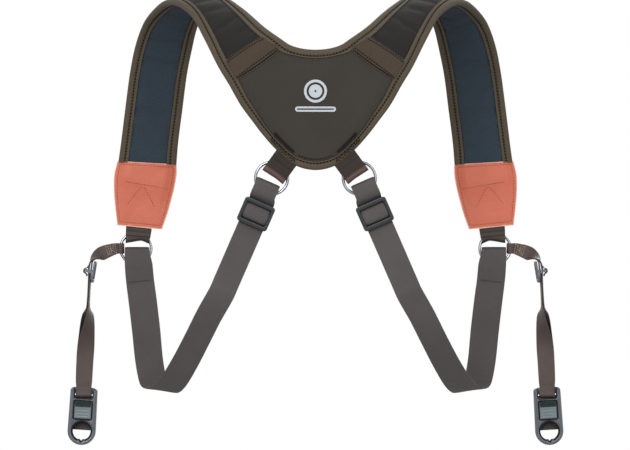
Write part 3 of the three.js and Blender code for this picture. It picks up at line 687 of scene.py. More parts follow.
def binding_profile(width):
    """Outline of the folded tape for a width on each face: (distance from the edge, side, lift)."""
    face = [(width, 0.1), (width - 0.25, TAPE), (width - 1.2, TAPE + 0.1), (GROOVE + 0.9, TAPE + 0.05),
            (GROOVE + 0.45, 0.4), (GROOVE - 0.45, 0.4), (GROOVE - 1.0, TAPE + 0.3), (2.8, TAPE + 0.5),
            (1.2, TAPE + 0.3)]
    outside = [(d, 1.0, lift) for d, lift in face]
    rim = [(0.25, 0.8, 0.0), (-0.25, 0.35, 0.0), (-0.4, 0.0, 0.0), (-0.25, -0.35, 0.0), (0.25, -0.8, 0.0)]
    inside = [(d, -1.0, lift) for d, lift in reversed(face)]
    under = [(width - 0.3, -1.0, -0.1), (GROOVE, -1.0, -0.6), (1.5, -1.0, -0.3), (0.7, 0.0, 0.0),
             (1.5, 1.0, -0.3), (GROOVE, 1.0, -0.6), (width - 0.3, 1.0, -0.1)]
    return np.array(outside + rim + inside + under)


def build_binding(name, from_neck, *nodes):
    """Tape folded over the whole outer edge or the whole neck edge."""
    s = np.linspace(-CAP, CAP, int(2 * CAP * 14) + 1)
    outer, across, width, normal = station(s)
    profiles = np.stack([binding_profile(w) for w in tape_width(s)])
    distance, side, lift = profiles[..., 0], profiles[..., 1], profiles[..., 2]
    away = width[:, None] - distance if from_neck else distance
    height = half_thickness(s[:, None], np.maximum(distance, 0.0)) * side + np.sign(side) * lift
    height = np.where(np.abs(side) < 1.0, (EDGE_HALF + TAPE) * side, height)
    rings = outer[:, None] + across[:, None] * away[..., None] + normal[:, None] * height[..., None]
    edge = outer + across * width[:, None] if from_neck else outer
    girth = lengths(np.stack([profiles[0, :, 0], profiles[0, :, 1] * 1.5 + profiles[0, :, 2]], -1))
    uv = np.stack(np.broadcast_arrays(lengths(edge)[:, None], girth[None, :]), -1)
    obj = make(name, *sweep(rings, uv), TAPE_CLOTH, sharp=60)
    return place(obj, "harness", "edge_binding", *nodes)


def pad_strip(name, d_from, d_to, s_from, s_to, lift, thick, mat, rows, columns):
    """Raised strip on the pad's outer face: four arrays give its ends, as (distance, station) lines."""
    k = np.linspace(0, 1, columns)[None, :]
    row = np.linspace(0, 1, rows)
    d_ends, s_ends = [np.array([np.interp(row, (0, 1), pair) for pair in ends]) for ends in
                      ((d_from, d_to), (s_from, s_to))]
    s = s_ends[0][:, None] * (1 - k) + s_ends[1][:, None] * k
    d = d_ends[0][:, None] * (1 - k) + d_ends[1][:, None] * k
    top = on_pad_grid(s, d, 1, lift + thick)
    bottom = on_pad_grid(s, d, 1, lift)
    line = lengths(top[:, columns // 2])
    run = lengths(top[rows // 2])
    uv = np.stack(np.broadcast_arrays(run[None, :], line[:, None]), -1)
    return make(name, *slab(top, bottom, uv), mat)


def across_arm(outer_s, neck_s, lift, trim=0.6, columns=40):
    """A slanting line across an arm, from binding to binding, with its normals."""
    s = np.linspace(outer_s, neck_s, columns)
    width = station(s)[2]
    tape = tape_width(s)
    d = np.linspace(tape[0] - trim, (width - tape)[-1] + trim, columns)
    return on_pad(s, d, 1, lift), station(s)[3]


def build_bands():
    for side, sign in SIDES.items():
        neck_width = [station(np.array([sign * s]))[2][0] - tape_width(s) + 1.2 for s in BAND_NECK]
        band = pad_strip(f"shoulder_band_{side}", [tape_width(s) - 1.2 for s in BAND_OUTER], neck_width,
                         [sign * s for s in BAND_OUTER], [sign * s for s in BAND_NECK], 0.1, 1.2, BAND_CLOTH,
                         28, 40)
        place(band, "harness", "brown_webbing", f"shoulder_band_{side}")


def build_foot_patches():
    """Narrow folded edge of the webbing patch that backs each ring tab, sewn through the plate."""
    for side, sign in SIDES.items():
        ends = (sign * 1.15, sign * 2.35)
        strip = pad_strip(f"foot_patch_{side}", (8.4, 8.4), (10.4, 10.4), ends, ends, 0.05, 0.55, ARM_CLOTH,
                          24, 5)
        place(strip, "harness", "dark_fabric")


def zigzag(sign, lift):
    """Crossed stitches on the binding over a ring tab."""
    lines = []
    for phase in (0, 1):
        s = np.linspace(sign * 1.0, sign * 2.45, 9)
        d = np.where((np.arange(9) + phase) % 2 == 0, 1.7, 4.3)
        fine = np.linspace(0, 8, 65)
        s, d = np.interp(fine, range(9), s), np.interp(fine, range(9), d)
        lines.append((on_pad(s, d, 1, lift), station(s)[3]))
    return lines


def build_pad_stitches():
    groove, seams, piping = [], [], []
    for side in (1, -1):
        for from_neck in (False, True):
            groove.append(pad_line(-CAP, CAP, GROOVE, side, 0.5, from_neck))
    holes = stitches("binding_stitches", groove, DARK_THREAD, pitch=2.8, length=1.6, radius=0.55)
    place(holes, "harness", "edge_binding")
    for sign in SIDES.values():
        low, high = [(sign * outer, sign * neck) for outer, neck in zip(BAND_OUTER, BAND_NECK)]
        seams += [across_arm(low[0] + sign * 0.14, low[1] + sign * 0.2, 1.45)]
        seams += [across_arm(high[0] - sign * 0.1, high[1] - sign * 0.1, 1.45)]
        piping += [across_arm(low[0] - sign * 0.1, low[1] - sign * 0.16, 0.35)]
        piping += [across_arm(high[0] + sign * 0.1, high[1] + sign * 0.09, 0.3)]
        seams += zigzag(sign, TAPE + 0.55)
        seams.append(pad_line(sign * 1.15, sign * 2.35, 9.4, 1, 0.7))
    seams.append(pad_line(-0.9, 0.9, 8.6, 1, 0.15))
    place(stitches("seam_stitches", seams, DARK_THREAD, 2.5, 1.8, 0.33), "harness", "brown_webbing")
    place(stitches("piping_stitches", piping, TAPE_THREAD, 2.3, 1.8, 0.36), "harness", "edge_binding")


PLATE_FACE = build_pads()
build_binding("outer_binding", False, "plate_binding_lower", "strap_binding_outer_left",
              "strap_binding_outer_right")
build_binding("neck_binding", True, "plate_binding_neck", "strap_binding_neck_left",
              "strap_binding_neck_right")
build_bands()
build_foot_patches()
build_pad_stitches()


# ---------------------------------------------------------------- badge
def plate_front(x, z):
    """Y of the plate cover's outer face, found by a ray from behind."""
    hit = PLATE_FACE.ray_cast(Vector((x, -200.0, z)) * MM, Vector((0, 1, 0)))[0]
    return hit.y / MM


def badge_piece(name, outlines, node):
    """Flat print of ink: each outline is (outer loop, inner loop) of (x, z) points."""
    verts, faces, uv = [], [], []
    for outer, inner in outlines:
        n, base = len(outer), len(verts)
        for lift in (0.2, 0.02):
            for loop in (outer, inner):
                verts += [(x, plate_front(x, z) - lift, z) for x, z in loop]
                uv += list(loop)
        for i in range(n):
            j = (i + 1) % n
            a, b, c, d = (base + k * n for k in range(4))
            faces += [(a + i, a + j, b + j, b + i), (c + i, d + i, d + j, c + j)]
            faces += [(a + i, c + i, c + j, a + j), (b + i, b + j, d + j, d + i)]
    obj = make(name, verts, faces, np.array(uv, float), PRINT)
    return place(obj, "harness", "print", node)


def ring_of(radius, count=72, centre=(0.0, -80.0)):
    return [(centre[0] + radius * math.cos(a), centre[1] + radius * math.sin(a)) for a in circle(count)]


badge_piece("badge_disc", [(ring_of(9.6), ring_of(7.4)), (ring_of(5.6), ring_of(0.9))], "badge_disc")


def bar_loops(half_width, half_height, centre_z, count=24):
    """A pill outline and a thin slit along its middle."""
    def pill(w, h):
        angle = circle(count) + 1e-3
        return [(math.copysign(w - h, math.cos(a)) + h * math.cos(a), centre_z + h * math.sin(a))
                for a in angle]
    return pill(half_width, half_height), pill(half_width - 1.6, half_height - 1.6)


badge_piece("badge_bar", [bar_loops(17.0, 2.2, -95.0)], "badge_bar")


# ---------------------------------------------------------------- straps and webbing
def section(width, thick, across, face, middle, columns=9, curl=0.0):
    """Rounded flat section of a strap; curl lifts its edges towards the face direction."""
    x = np.linspace(-1, 1, columns)
    lift = curl * x ** 2
    top = [(a, 1 - 0.35 * abs(a) ** 8, b) for a, b in zip(x, lift)]
    points = top + [(a, -b, c) for a, b, c in reversed(top)]
    return np.array([middle + across * (a * width / 2) + face * (b * thick / 2 + c) for a, b, c in points])


def strap(name, stops, thick, steps, mat, columns=9, wobble=0.0):
    """Strap along stops of (point, across, width). Returns the object and its middle surface."""
    points = np.array([p for p, _, _ in stops], float)
    acrosses = np.array([a for _, a, _ in stops], float)
    widths = np.array([[w] for _, _, w in stops], float)
    t = np.linspace(0, len(points) - 1, steps)
    dense = through(points, t)
    s = lengths(dense)
    even = np.interp(np.linspace(0, s[-1], steps), s, t)
    middle = through(points, even)
    along = unit(np.gradient(middle, axis=0))
    across = through(acrosses, even)
    across = unit(across - along * np.sum(across * along, axis=1, keepdims=True))
    face = np.cross(across, along)
    width = np.interp(even, np.arange(len(widths)), widths[:, 0])
    run = lengths(middle)
    ripple = wobble * np.sin(run / 11.0) * np.sin(run / 5.3)
    rings = np.stack([section(w, thick, a, f, m, columns, c)
                      for w, a, f, m, c in zip(width, across, face, middle, ripple)])
    girth = np.concatenate([np.linspace(0, 1, columns), np.linspace(1, 0, columns)])
    uv = np.stack([np.repeat(run[:, None], 2 * columns, 1), girth[None, :] * width[:, None]], -1)
    obj = make(name, *sweep(rings, uv), mat, sharp=50)
    return obj, middle, across, face, width, along


def mirrored(points, sign):
    return np.asarray(points, float) * np.array([sign, 1.0, 1.0])


def stops_for(sign, rows):
    return [(mirrored(p, sign), mirrored(a, sign) * sign, w) for p, a, w in rows]


def cross_line(strap_parts, at, half, thick, toward=1.0, at_other=None):
    """A line across a strap, square or slanting to another run length."""
    _, middle, across, face, _, _ = strap_parts
    run = lengths(middle)
    k = np.linspace(0, 1, 12)
    where = at + (0 if at_other is None else (at_other - at) * k)
    index = np.clip(np.searchsorted(run, where), 0, len(run) - 1) * np.ones(12, int)
    offset = (2 * k - 1) * half
    path = middle[index] + across[index] * offset[:, None] + face[index] * (toward * (thick / 2 + 0.12))
    return path, face[index] * toward


STRETCH_FROM = np.array([-36.5, -97.2, -152.4])
STRETCH_ALONG = unit([-0.395, 0.174, -0.902])
STRETCH_ACROSS = unit([0.902, 0.0, -0.395])
STRETCH_FACE = np.cross(STRETCH_ACROSS, STRETCH_ALONG)


def stretch(distance, lift=0.0, width=22.0, shift=0.0):
    at = STRETCH_FROM + STRETCH_ALONG * distance + STRETCH_FACE * lift + STRETCH_ACROSS * shift
    return (at, STRETCH_ACROSS, width)


FACE_BACK = 1.0 if STRETCH_FACE[1] < 0 else -1.0  # sign of a lift that points backwards


def elastic_rows():
    """The whole elastic, from its tail behind the front ring to its tail behind the back ring."""
    x = FRONT_RING[0] + 1.1
    rows = [
        ((x + 1.6, 91.5, -237), X, 22.6), ((x + 1.2, 92, -232), X, 22.2), ((x + 0.5, 92.8, -225), X, 21.6),
        ((x, 92.8, -218), X, 21.3), ((x, 92.5, -214.4), X, 21.3), ((x, 91.3, -212.1), X, 21.3),
        ((x, 90, -211.4), X, 21.3), ((x, 88.7, -212.1), X, 21.3), ((x, 87.5, -214.4), X, 21.5),
        ((x + 0.3, 87.2, -218), X, 22.2), ((-155.9, 87.2, -222), X, 23.4), ((-155.2, 87.5, -227), X, 24.4),
        ((-154.7, 88.6, -233.5), (1, 0, 0.05), 24.6),
        ((-154, 89.6, -241), (1, 0, 0.06), 24.6),
        ((-152, 88.9, -256), (1, 0, 0.07), 24.8),
        ((-148.7, 86.5, -283), (1, 0, 0.08), 24.8),
        ((-145.6, 81, -311), (0.98, -0.05, 0.12), 24.4),
        ((-142, 72, -327), (0.96, -0.02, 0.02), 24),
        ((-137, 59, -333.8), (0.94, 0.08, -0.1), 23.6),
        ((-131, 43, -334), (0.93, 0.12, -0.2), 23.4),
        ((-123, 18, -327), (0.91, 0.14, -0.32), 23),
        ((-112, -15, -310), (0.9, 0.15, -0.39), 22.4),
        ((-99.8, -47, -287.5), (0.91, 0.13, -0.39), 22),
        ((-89.2, -67, -267), (0.91, 0.08, -0.38), 22),
    ]
    rows += [stretch(d) for d in (106, 98, 90, 74, 58, 42, 28, 21)]
    up = FACE_BACK
    rows += [stretch(d, lift * up, 20.6, -1.0) for d, lift in
             ((16.5, 1.9), (13.5, 2.8), (8.5, 2.8), (6.0, 2.5), (4.6, 1.3), (4.1, 0), (4.6, -1.3),
              (6.0, -2.5), (8.5, -2.8), (13.5, -2.8), (17.0, -2.0), (20.2, -1.9))]
    return rows


def build_elastics():
    for side, sign in SIDES.items():
        parts = strap(f"elastic_strap_{side}", stops_for(sign, elastic_rows()), ELASTIC_THICK - 0.15, 420,
                      ELASTIC_CLOTH, columns=11)
        place(parts[0], "harness", "elastic", f"elastic_strap_{side}")
        run = lengths(parts[1])
        total = run[-1]
        lines = []
        for toward in (1, -1):
            for at in (57.5, total - 46.5, total - 44.0):
                lines.append(cross_line(parts, at, 9.6, ELASTIC_THICK, toward))
        obj = stitches(f"elastic_stitches_{side}", lines, ELASTIC_THREAD, pitch=2.2, length=1.6, radius=0.2)
        place(obj, "harness", "elastic")


build_elastics()


def loop_rows(ring, down, tail, fold, width, top_width):
    """Webbing folded round a ring. down points from its tail to the fold; distances are from the ring."""
    down = unit(down)
    across = unit(np.cross(down, -Y))
    outer_face = [(-tail, 0.8), (-15.6, 1.0), (-13.5, 1.9), (-10.5, 2.2), (fold - 6.0, 2.5),
                  (fold - 2.6, 3.2), (fold - 0.8, 2.4)]
    route = outer_face + [(fold, 0.0)] + [(distance, -lift) for distance, lift in reversed(outer_face)]
    rows = []
    for distance, lift in route:
        share = smooth((distance - fold) / (-tail - fold))
        rows.append((ring + down * distance - Y * lift, across, width + (top_width - width) * float(share)))
    return rows


def wave_fold(obj, sign, ring, down, fold, half_width, shape):
    """Moves a tab's fold along the tab: shape holds the moves, in mm, from one edge to the other."""
    down = unit(down)
    across = unit(np.cross(down, -Y))
    for vertex in obj.data.vertices:
        at = mirrored(np.array(vertex.co) / MM, sign) - ring
        where = np.interp(np.dot(at, across) / half_width, np.linspace(-1, 1, len(shape)), shape)
        near = smooth(1 - abs(np.dot(at, down) - fold) / 7.5)
        vertex.co += Vector(mirrored(-down * where * near, sign)) * MM


TABS = (
    {"name": "front_ring_tab", "ring": FRONT_RING + [0.9, 0, 0], "down": (-0.1, 0, -1), "tail": 18.6,
     "fold": -4.3, "width": 20.6, "top_width": 22.6, "cloth": TAB_CLOTH, "slot": "brown_webbing",
     "wave": (1.2, 2.6, 3.6, 2.9, 1.9, 0.9, -0.2)},
    {"name": "back_ring_tab", "ring": BACK_RING - [0, 0.3, 0], "down": (-0.588, 0, -0.809), "tail": 26.0,
     "fold": -1.4, "width": 21.0, "top_width": 21.2, "cloth": BACK_TAB_CLOTH, "slot": "red_brown_webbing",
     "wave": (0.2, 0.7, 1.0, 0.8, 0.6, 0.3, 0.0)},
)


def build_tabs():
    for side, sign in SIDES.items():
        for tab in TABS:
            name = f"{tab['name']}_{side}"
            rows = loop_rows(*[tab[key] for key in ("ring", "down", "tail", "fold", "width", "top_width")])
            obj = strap(name, stops_for(sign, rows), 1.35, 110, tab["cloth"], columns=17, wobble=0.25)[0]
            wave_fold(obj, sign, tab["ring"], tab["down"], tab["fold"], tab["width"] / 2, tab["wave"])
            place(obj, "harness", tab["slot"], name)


build_tabs()


# ---------------------------------------------------------------- rings
def torus_rings(centre, tilt, sign):
    major, minor = circle(96), circle(16)
    turn = np.array(Matrix.Rotation(tilt, 3, "X"))
    seam = 0.06 * np.exp(-((np.degrees(major) - 182) / 3.0) ** 2) + 0.06 * np.exp(
        -((np.degrees(major) - 188) / 3.0) ** 2)
    rings = []
    for a, bump in zip(major, seam):
        out = np.array([math.cos(a), 0, math.sin(a)])
        wire = RING_WIRE + bump
        rings.append([turn @ (out * (RING_RADIUS + wire * math.cos(b)) + Y * wire * math.sin(b)) + centre
                      for b in minor])
    return mirrored(np.array(rings), sign)


def build_rings():
    for side, sign in SIDES.items():
        for name, centre, tilt in (("front_ring", FRONT_RING, 0.0), ("back_ring", BACK_RING, BACK_RING_TILT)):
            rings = torus_rings(centre, tilt, sign)
            uv = plain_uv(rings)
            obj = make(f"{name}_{side}", *sweep(rings, uv, closed=True), STEEL, sharp=80)
            place(obj, f"{name}_{side}", "steel_wire", f"{name}_{side}")


build_rings()


# ---------------------------------------------------------------- leather caps
CAP_Y = 88.6
CAP_OUTLINE = [(-173.4, -135.6), (-176.0, -146), (-176.6, -158), (-175.6, -174), (-173.6, -191.2),
               (-154.4, -193.2), (-135.2, -194.8), (-130.6, -182), (-127.2, -170), (-124.2, -158),
               (-122.4, -147), (-122.2, -138.6)]


def cap_edges(count):
    """Left and right edge points of the cap, from its top to its lower edge."""
    left = through(np.array([(x, 0, z) for x, z in CAP_OUTLINE[:5]]), np.linspace(0, 4, count))
    right = through(np.array([(x, 0, z) for x, z in CAP_OUTLINE[:5:-1]]), np.linspace(0, 5, count))
    return left, right


def cap_half(row, col):
    """Half thickness over the cap: full over the strap, thin at the sewn edges."""
    over_strap = 4.3 - 2.3 * smooth((row - 0.3) / 0.4)
    edge = np.minimum(col, 1 - col)
    return 1.35 + (over_strap - 1.35) * smooth(edge / 0.2) * (1 - 0.55 * smooth((row - 0.86) / 0.14))


def cut_edge(name, rim):
    """Thin raw edge of the leather round a cap."""
    along = unit(np.roll(rim, -1, axis=0) - np.roll(rim, 1, axis=0))
    out = unit(np.cross(along, Y))
    rings = np.stack([rim + 0.42 * (out * math.cos(a) + Y * math.sin(a)) for a in circle(8)], 1)
    return make(name, *sweep(rings, plain_uv(rings), closed=True), RAW_LEATHER, sharp=80)


def build_caps():
    count, columns = 46, 40
    left, right = cap_edges(count)
    row = np.linspace(0, 1, count)[:, None]
    col = (0.5 - 0.5 * np.cos(np.linspace(0, math.pi, columns)))[None, :]
    base = left[:, None] + (right - left)[:, None] * col[..., None]
    base[..., 1] = CAP_Y
    rng = np.random.default_rng(4)
    dents = sum(a * np.sin(fx * col * 6.28 + fz * row * 6.28 + p)
                for a, fx, fz, p in zip(rng.uniform(0.05, 0.14, 5), rng.uniform(0.5, 2.2, 5),
                                        rng.uniform(0.5, 2.6, 5), rng.uniform(0, 6.28, 5)))
    half = cap_half(row, col) + dents * smooth(np.minimum(col, 1 - col) / 0.15)
    uv = base[..., [0, 2]]
    for side, sign in SIDES.items():
        front = mirrored(base + half[..., None] * -Y, sign)
        rear = mirrored(base + half[..., None] * Y, sign)
        obj = make(f"end_cap_{side}", *slab(front, rear, uv), LEATHER, sharp=70)
        bevel = obj.modifiers.new("edge", "BEVEL")
        bevel.width, bevel.segments, bevel.limit_method = 0.5 * MM, 3, "ANGLE"
        bevel.angle_limit = math.radians(60)
        place(obj, "harness", "orange_leather", f"end_cap_{side}", fill=0.5)

        def on_cap(r, c, toward):
            r, c = np.asarray(r, float), np.asarray(c, float)
            a = np.stack([np.interp(r, np.linspace(0, 1, count), left[:, k]) for k in range(3)], -1)
            b = np.stack([np.interp(r, np.linspace(0, 1, count), right[:, k]) for k in range(3)], -1)
            p = a + (b - a) * c[..., None]
            p[..., 1] = CAP_Y + toward * (cap_half(r, c) + 0.22)
            return mirrored(p, sign), np.broadcast_to(Y * toward, p.shape)

        k = np.linspace(0, 1, 60)
        lines = []
        for toward in (-1, 1):
            margin = 0.05
            lines += [on_cap(0.055 + 0 * k, margin + k * (1 - 2 * margin), toward),
                      on_cap(0.955 + 0 * k, 0.06 + k * 0.88, toward),
                      on_cap(0.055 + 0.9 * k, margin + 0 * k, toward),
                      on_cap(0.055 + 0.9 * k, 1 - margin + 0 * k, toward),
                      on_cap(0.39 + 0.05 * k, 0.2 + 0.72 * k, toward),
                      on_cap(0.44 + 0.28 * k, 0.48 - 0.25 * k, toward),
                      on_cap(0.44 + 0.28 * k, 0.5 + 0.24 * k, toward)]
        seam = stitches(f"cap_stitches_{side}", lines, ORANGE_THREAD, pitch=2.6, length=1.7, radius=0.25)
        place(seam, "harness", "orange_leather")
        zero, one = 0 * k, 0 * k + 1
        for face, toward in (("back", -1), ("front", 1)):
            loops = [on_cap(zero, k, toward), on_cap(k, one, toward), on_cap(one, 1 - k, toward),
                     on_cap(1 - k, zero, toward)]
            rim = np.concatenate([points[:-1] for points, _ in loops]) - Y * toward * 0.4
            place(cut_edge(f"cap_edge_{face}_{side}", rim), "harness", "orange_leather")


build_caps()


# ---------------------------------------------------------------- moulded pieces
def outline_solid(name, loops, y_from, y_to, bevel, mat, segments=3):
    """Flat solid with rounded rims from closed loops of (x, z): the first outside, the rest holes."""
    bm = bmesh.new()
    for loop in loops:
        ring = [bm.verts.new((x * MM, y_from * MM, z * MM)) for x, z in loop]
        for a, b in zip(ring, ring[1:] + ring[:1]):
            bm.edges.new((a, b))
    bmesh.ops.triangle_fill(bm, edges=bm.edges, use_beauty=True)
    grown = bmesh.ops.extrude_face_region(bm, geom=bm.faces[:])
    moved = [v for v in grown["geom"] if isinstance(v, bmesh.types.BMVert)]
    bmesh.ops.translate(bm, verts=moved, vec=(0, (y_to - y_from) * MM, 0))
    bmesh.ops.recalc_face_normals(bm, faces=bm.faces)
    rims = [e for e in bm.edges if len(e.link_faces) == 2 and e.calc_face_angle(0) > math.radians(60)
            and abs((e.verts[0].co - e.verts[1].co).y) < 1e-7]
    bmesh.ops.bevel(bm, geom=rims, offset=bevel * MM, segments=segments, profile=0.5, affect="EDGES")
    return finish_mesh(name, bm, mat)


def finish_mesh(name, bm, mat):
    bmesh.ops.recalc_face_normals(bm, faces=bm.faces)
    mesh = bpy.data.meshes.new(name)
    bm.to_mesh(mesh)
    bm.free()
    mesh.materials.append(mat)
    mesh.shade_smooth()
    mesh.set_sharp_from_angle(angle=math.radians(38))
    obj = bpy.data.objects.new(name, mesh)
    bpy.context.scene.collection.objects.link(obj)
    return obj


def union(obj, *others):
    """Joins closed bodies into one, and removes the others."""
    for other in others:
        joint = obj.modifiers.new("join", "BOOLEAN")
        joint.operation, joint.object, joint.solver = "UNION", other, "EXACT"
    bpy.context.view_layer.update()
    mesh = bpy.data.meshes.new_from_object(obj.evaluated_get(bpy.context.evaluated_depsgraph_get()))
    obj.modifiers.clear()
    obj.data = mesh
    for other in others:
        bpy.data.objects.remove(other)
    mesh.shade_smooth()
    mesh.set_sharp_from_angle(angle=math.radians(38))
    return obj


def rounded(width, height, radius, centre=(0.0, 0.0), per_corner=6):
    """Rounded rectangle of (x, z) points."""
    points = []
    for k, (sx, sz) in enumerate(((1, 1), (-1, 1), (-1, -1), (1, -1))):
        for a in np.linspace(0, math.pi / 2, per_corner) + k * math.pi / 2:
            points.append((centre[0] + sx * (width / 2 - radius) + radius * math.cos(a),
                           centre[1] + sz * (height / 2 - radius) + radius * math.sin(a)))
    return points


def settle(obj, matrix, sign):
    """Puts a piece drawn about the origin (in mm scaled to metres) in its place, mirrored on the right."""
    flip = Matrix.Diagonal((sign, 1, 1, 1))
    obj.data.transform(flip @ matrix)
    if sign < 0:
        obj.data.flip_normals()
    return obj


def basis(point, across, along):
    x, z = Vector(unit(across)), Vector(unit(along))
    y = z.cross(x).normalized()
    z = x.cross(y)
    m = Matrix((x, y, z)).transposed().to_4x4()
    m.translation = Vector(point) * MM
    return m


def bar_body(name, length, depth, height, y, z, mat, ribs=0):
    """Rounded bar along X, with fine grip ribs across its outer faces."""
    angle, power = circle(20), 0.45
    ring = np.stack([np.sign(np.cos(angle)) * np.abs(np.cos(angle)) ** power * depth / 2,
                     np.sign(np.sin(angle)) * np.abs(np.sin(angle)) ** power * height / 2], -1)
    x = np.linspace(-length / 2, length / 2, 3 if not ribs else 6 * ribs + 1)
    scale = 1 - (0.07 * (0.5 + 0.5 * np.cos(x / length * 2 * math.pi * ribs)) if ribs else 0 * x)
    rings = np.array([[(xi, y + k * p[0], z + k * p[1]) for p in ring] for xi, k in zip(x, scale)])
    return make(name, *sweep(rings, plain_uv(rings)), mat)


def three_bar(name, buckle, strap_thick, mat):
    """Three-bar buckle: frame behind the strap's outer face, middle bar on its inner face."""
    width, height, bar, side, thick = (buckle[key] for key in ("width", "height", "bar", "side", "thick"))
    clear = strap_thick / 2 + buckle["room"]
    window = rounded(width - 2 * side, height - 2 * bar, 0.9)
    frame_loops = [rounded(width, height, buckle["corner"]), window[::-1]]
    body = outline_solid(name, frame_loops, -clear - thick, -clear, 0.7, mat, 4)
    middle = bar_body(name + "_bar", width - 1.2, thick, bar * 0.95, clear + thick / 2, 0, mat, ribs=12)
    posts = [bar_body(f"{name}_post{k}", buckle["post"], 2 * clear + thick * 1.4, bar * 0.8, 0, 0, mat)
             for k in (0, 1)]
    for post, end in zip(posts, (-1, 1)):
        post.data.transform(Matrix.Translation((end * (width - buckle["post"]) / 2 * MM, 0, 0)))
    return union(body, middle, *posts)


def wrap(name, path, width, thick, mat):
    """Strap of a buckle, drawn in the buckle's own axes along (depth, height) points."""
    rows = [((0, y, z), X, width) for y, z in path]
    return strap(name, rows, thick, 60, mat, columns=13)[0]


HANG_FROM = np.array([-197.3, 86.8, -221.5])
HANG_ALONG = unit([-0.05, -0.06, -0.997])
# The elastic's end, sewn round the adjuster's middle bar, swells up in the window of the frame.
ADJUSTER_WRAP = [(-1.36, 6.9), (-1.9, 6.1), (-2.45, 4.2), (-2.8, 1.6), (-2.85, -0.6), (-2.6, -3.4),
                 (-2.0, -5.8), (-1.36, -6.9)]
# The webbing's end, sewn round the slider's middle bar.
SLIDER_WRAP = [(2.15, 4.6), (2.5, 3.0), (3.8, 2.3), (5.1, 1.3), (5.35, 0.0), (5.1, -1.3),
               (3.8, -2.3), (2.5, -3.0), (2.15, -4.6)]


def build_buckles():
    adjuster_at = basis(stretch(ADJUSTER["place"])[0], STRETCH_ACROSS, -STRETCH_ALONG)
    slider_at = (basis(HANG_FROM + HANG_ALONG * SLIDER["place"], Y, -HANG_ALONG)
                 @ Matrix.Rotation(SLIDER["lean"], 4, "X"))
    for side, sign in SIDES.items():
        for name, buckle, strap_thick, mat, slot, where, fold, folded_cloth, folded_slot in (
                ("adjuster", ADJUSTER, ELASTIC_THICK, BLACK_PLASTIC, "black_plastic", adjuster_at,
                 (ADJUSTER_WRAP, 20.9, 0.85), ELASTIC_CLOTH, "elastic"),
                ("webbing_slider", SLIDER, 2.4, GREY_PLASTIC, "grey_plastic", slider_at,
                 (SLIDER_WRAP, 14.4, 0.9), RED_CLOTH, "red_brown_webbing")):
            frame_piece = three_bar(f"{name}_{side}", buckle, strap_thick, mat)
            place(settle(frame_piece, where, sign), f"{name}_{side}", slot, f"{name}_{side}")
            folded = wrap(f"{name}_fold_{side}", *fold, folded_cloth)
            place(settle(folded, where, sign), f"{name}_{side}", folded_slot)


build_buckles()


# ---------------------------------------------------------------- connector webbing
def webbing_rows():
    """Middle line of the doubled connector webbing: (point, across, width, how far its layers part)."""
    rows = [((-176.4, 90, -212.6), (0, 0, 1), 9.6, 1), ((-182, 90.2, -214.1), (-0.1, 0.15, 1), 11.4, 1),
            ((-187.6, 89.9, -216.4), (-0.2, 0.4, 0.9), 12.6, 1),
            ((-192.5, 88.9, -219.2), (-0.2, 0.85, 0.5), 14, 1),
            ((-196.2, 87.4, -223), (0, 1, 0.1), 15, 1.2)]
    rows += [(HANG_FROM + HANG_ALONG * d, Y, 15.0, apart)
             for d, apart in ((7, 1.8), (14, 1.3), (24, 1), (33, 1), (41, 1.4))]
    rows += [((-199.5, 84, -270), (0.35, 0.94, 0), 15, 3.2), ((-200.7, 83, -290), (0.82, 0.57, 0), 15, 1.7),
             ((-202, 82.3, -308), (1, 0.1, 0), 15, 1), ((-202.9, 82, -328), (1, 0, 0), 14.4, 1),
             ((-203, 82, -334.5), (1, 0, 0), 13, 1)]
    return rows


def layered_rows(offset):
    """The webbing's route moved along its face by an offset, so that two layers lie together."""
    rows = webbing_rows()
    points = np.array([row[0] for row in rows], float)
    along = unit(np.gradient(points, axis=0))
    return [(p + unit(np.cross(a, t)) * offset * apart, a, w) for (p, a, w, apart), t in zip(rows, along)]


RING_FOLD = [(-5.0, 1.75), (-2.3, 2.0), (0.0, 2.95), (2.1, 2.05), (2.9, 0.0), (2.1, -2.05), (0.0, -2.95),
             (-2.3, -1.9)]   # (outwards from the wire, forwards) round the front ring's wire
BAR_FOLD = [(2.0, 1.8), (2.25, 0.2), (1.6, -1.6), (0, -2.25), (-1.6, -1.6), (-2.25, 0.2), (-2.0, 1.8)]


def build_connector_webbing():
    for side, sign in SIDES.items():
        wire = FRONT_RING - [RING_RADIUS, 0, 0]
        tail = [((-182.6, 91.7, -214.2), (0, 0.1, 1), 11.4)]
        ring_fold = [(wire + [x, y, 0], (0, 0, 1), 9.2) for x, y in RING_FOLD]
        bar_fold = [(CONNECTOR_BAR + np.array([0, y, z]), X, 13.0) for y, z in BAR_FOLD]
        rows = tail + ring_fold + layered_rows(0.62) + bar_fold + layered_rows(-0.62)[::-1]
        parts = strap(f"connector_webbing_{side}", stops_for(sign, rows), 1.1, 520, RED_CLOTH, columns=9)
        place(parts[0], f"connector_strap_{side}", "red_brown_webbing", f"connector_webbing_{side}")
        run = lengths(parts[1])
        near = (run > 18) & (run < 45)
        start, end = (run[near][np.argmin(np.abs(np.abs(parts[1][near, 0]) - x))] for x in (174.8, 182.8))
        toward = math.copysign(1.0, -parts[3][np.searchsorted(run, end)][1])
        seams = [start + (end - start) * k / 4 for k in range(5)]
        lines = [cross_line(parts, a, 4.4, 1.1, toward, b)
                 for a, b in [(a, a) for a in seams] + [(start, end), (end, start)]]
        seam = stitches(f"connector_stitches_{side}", lines, TAN_THREAD, pitch=1.9, length=1.5, radius=0.34)
        place(seam, f"connector_strap_{side}", "red_brown_webbing")


build_connector_webbing()


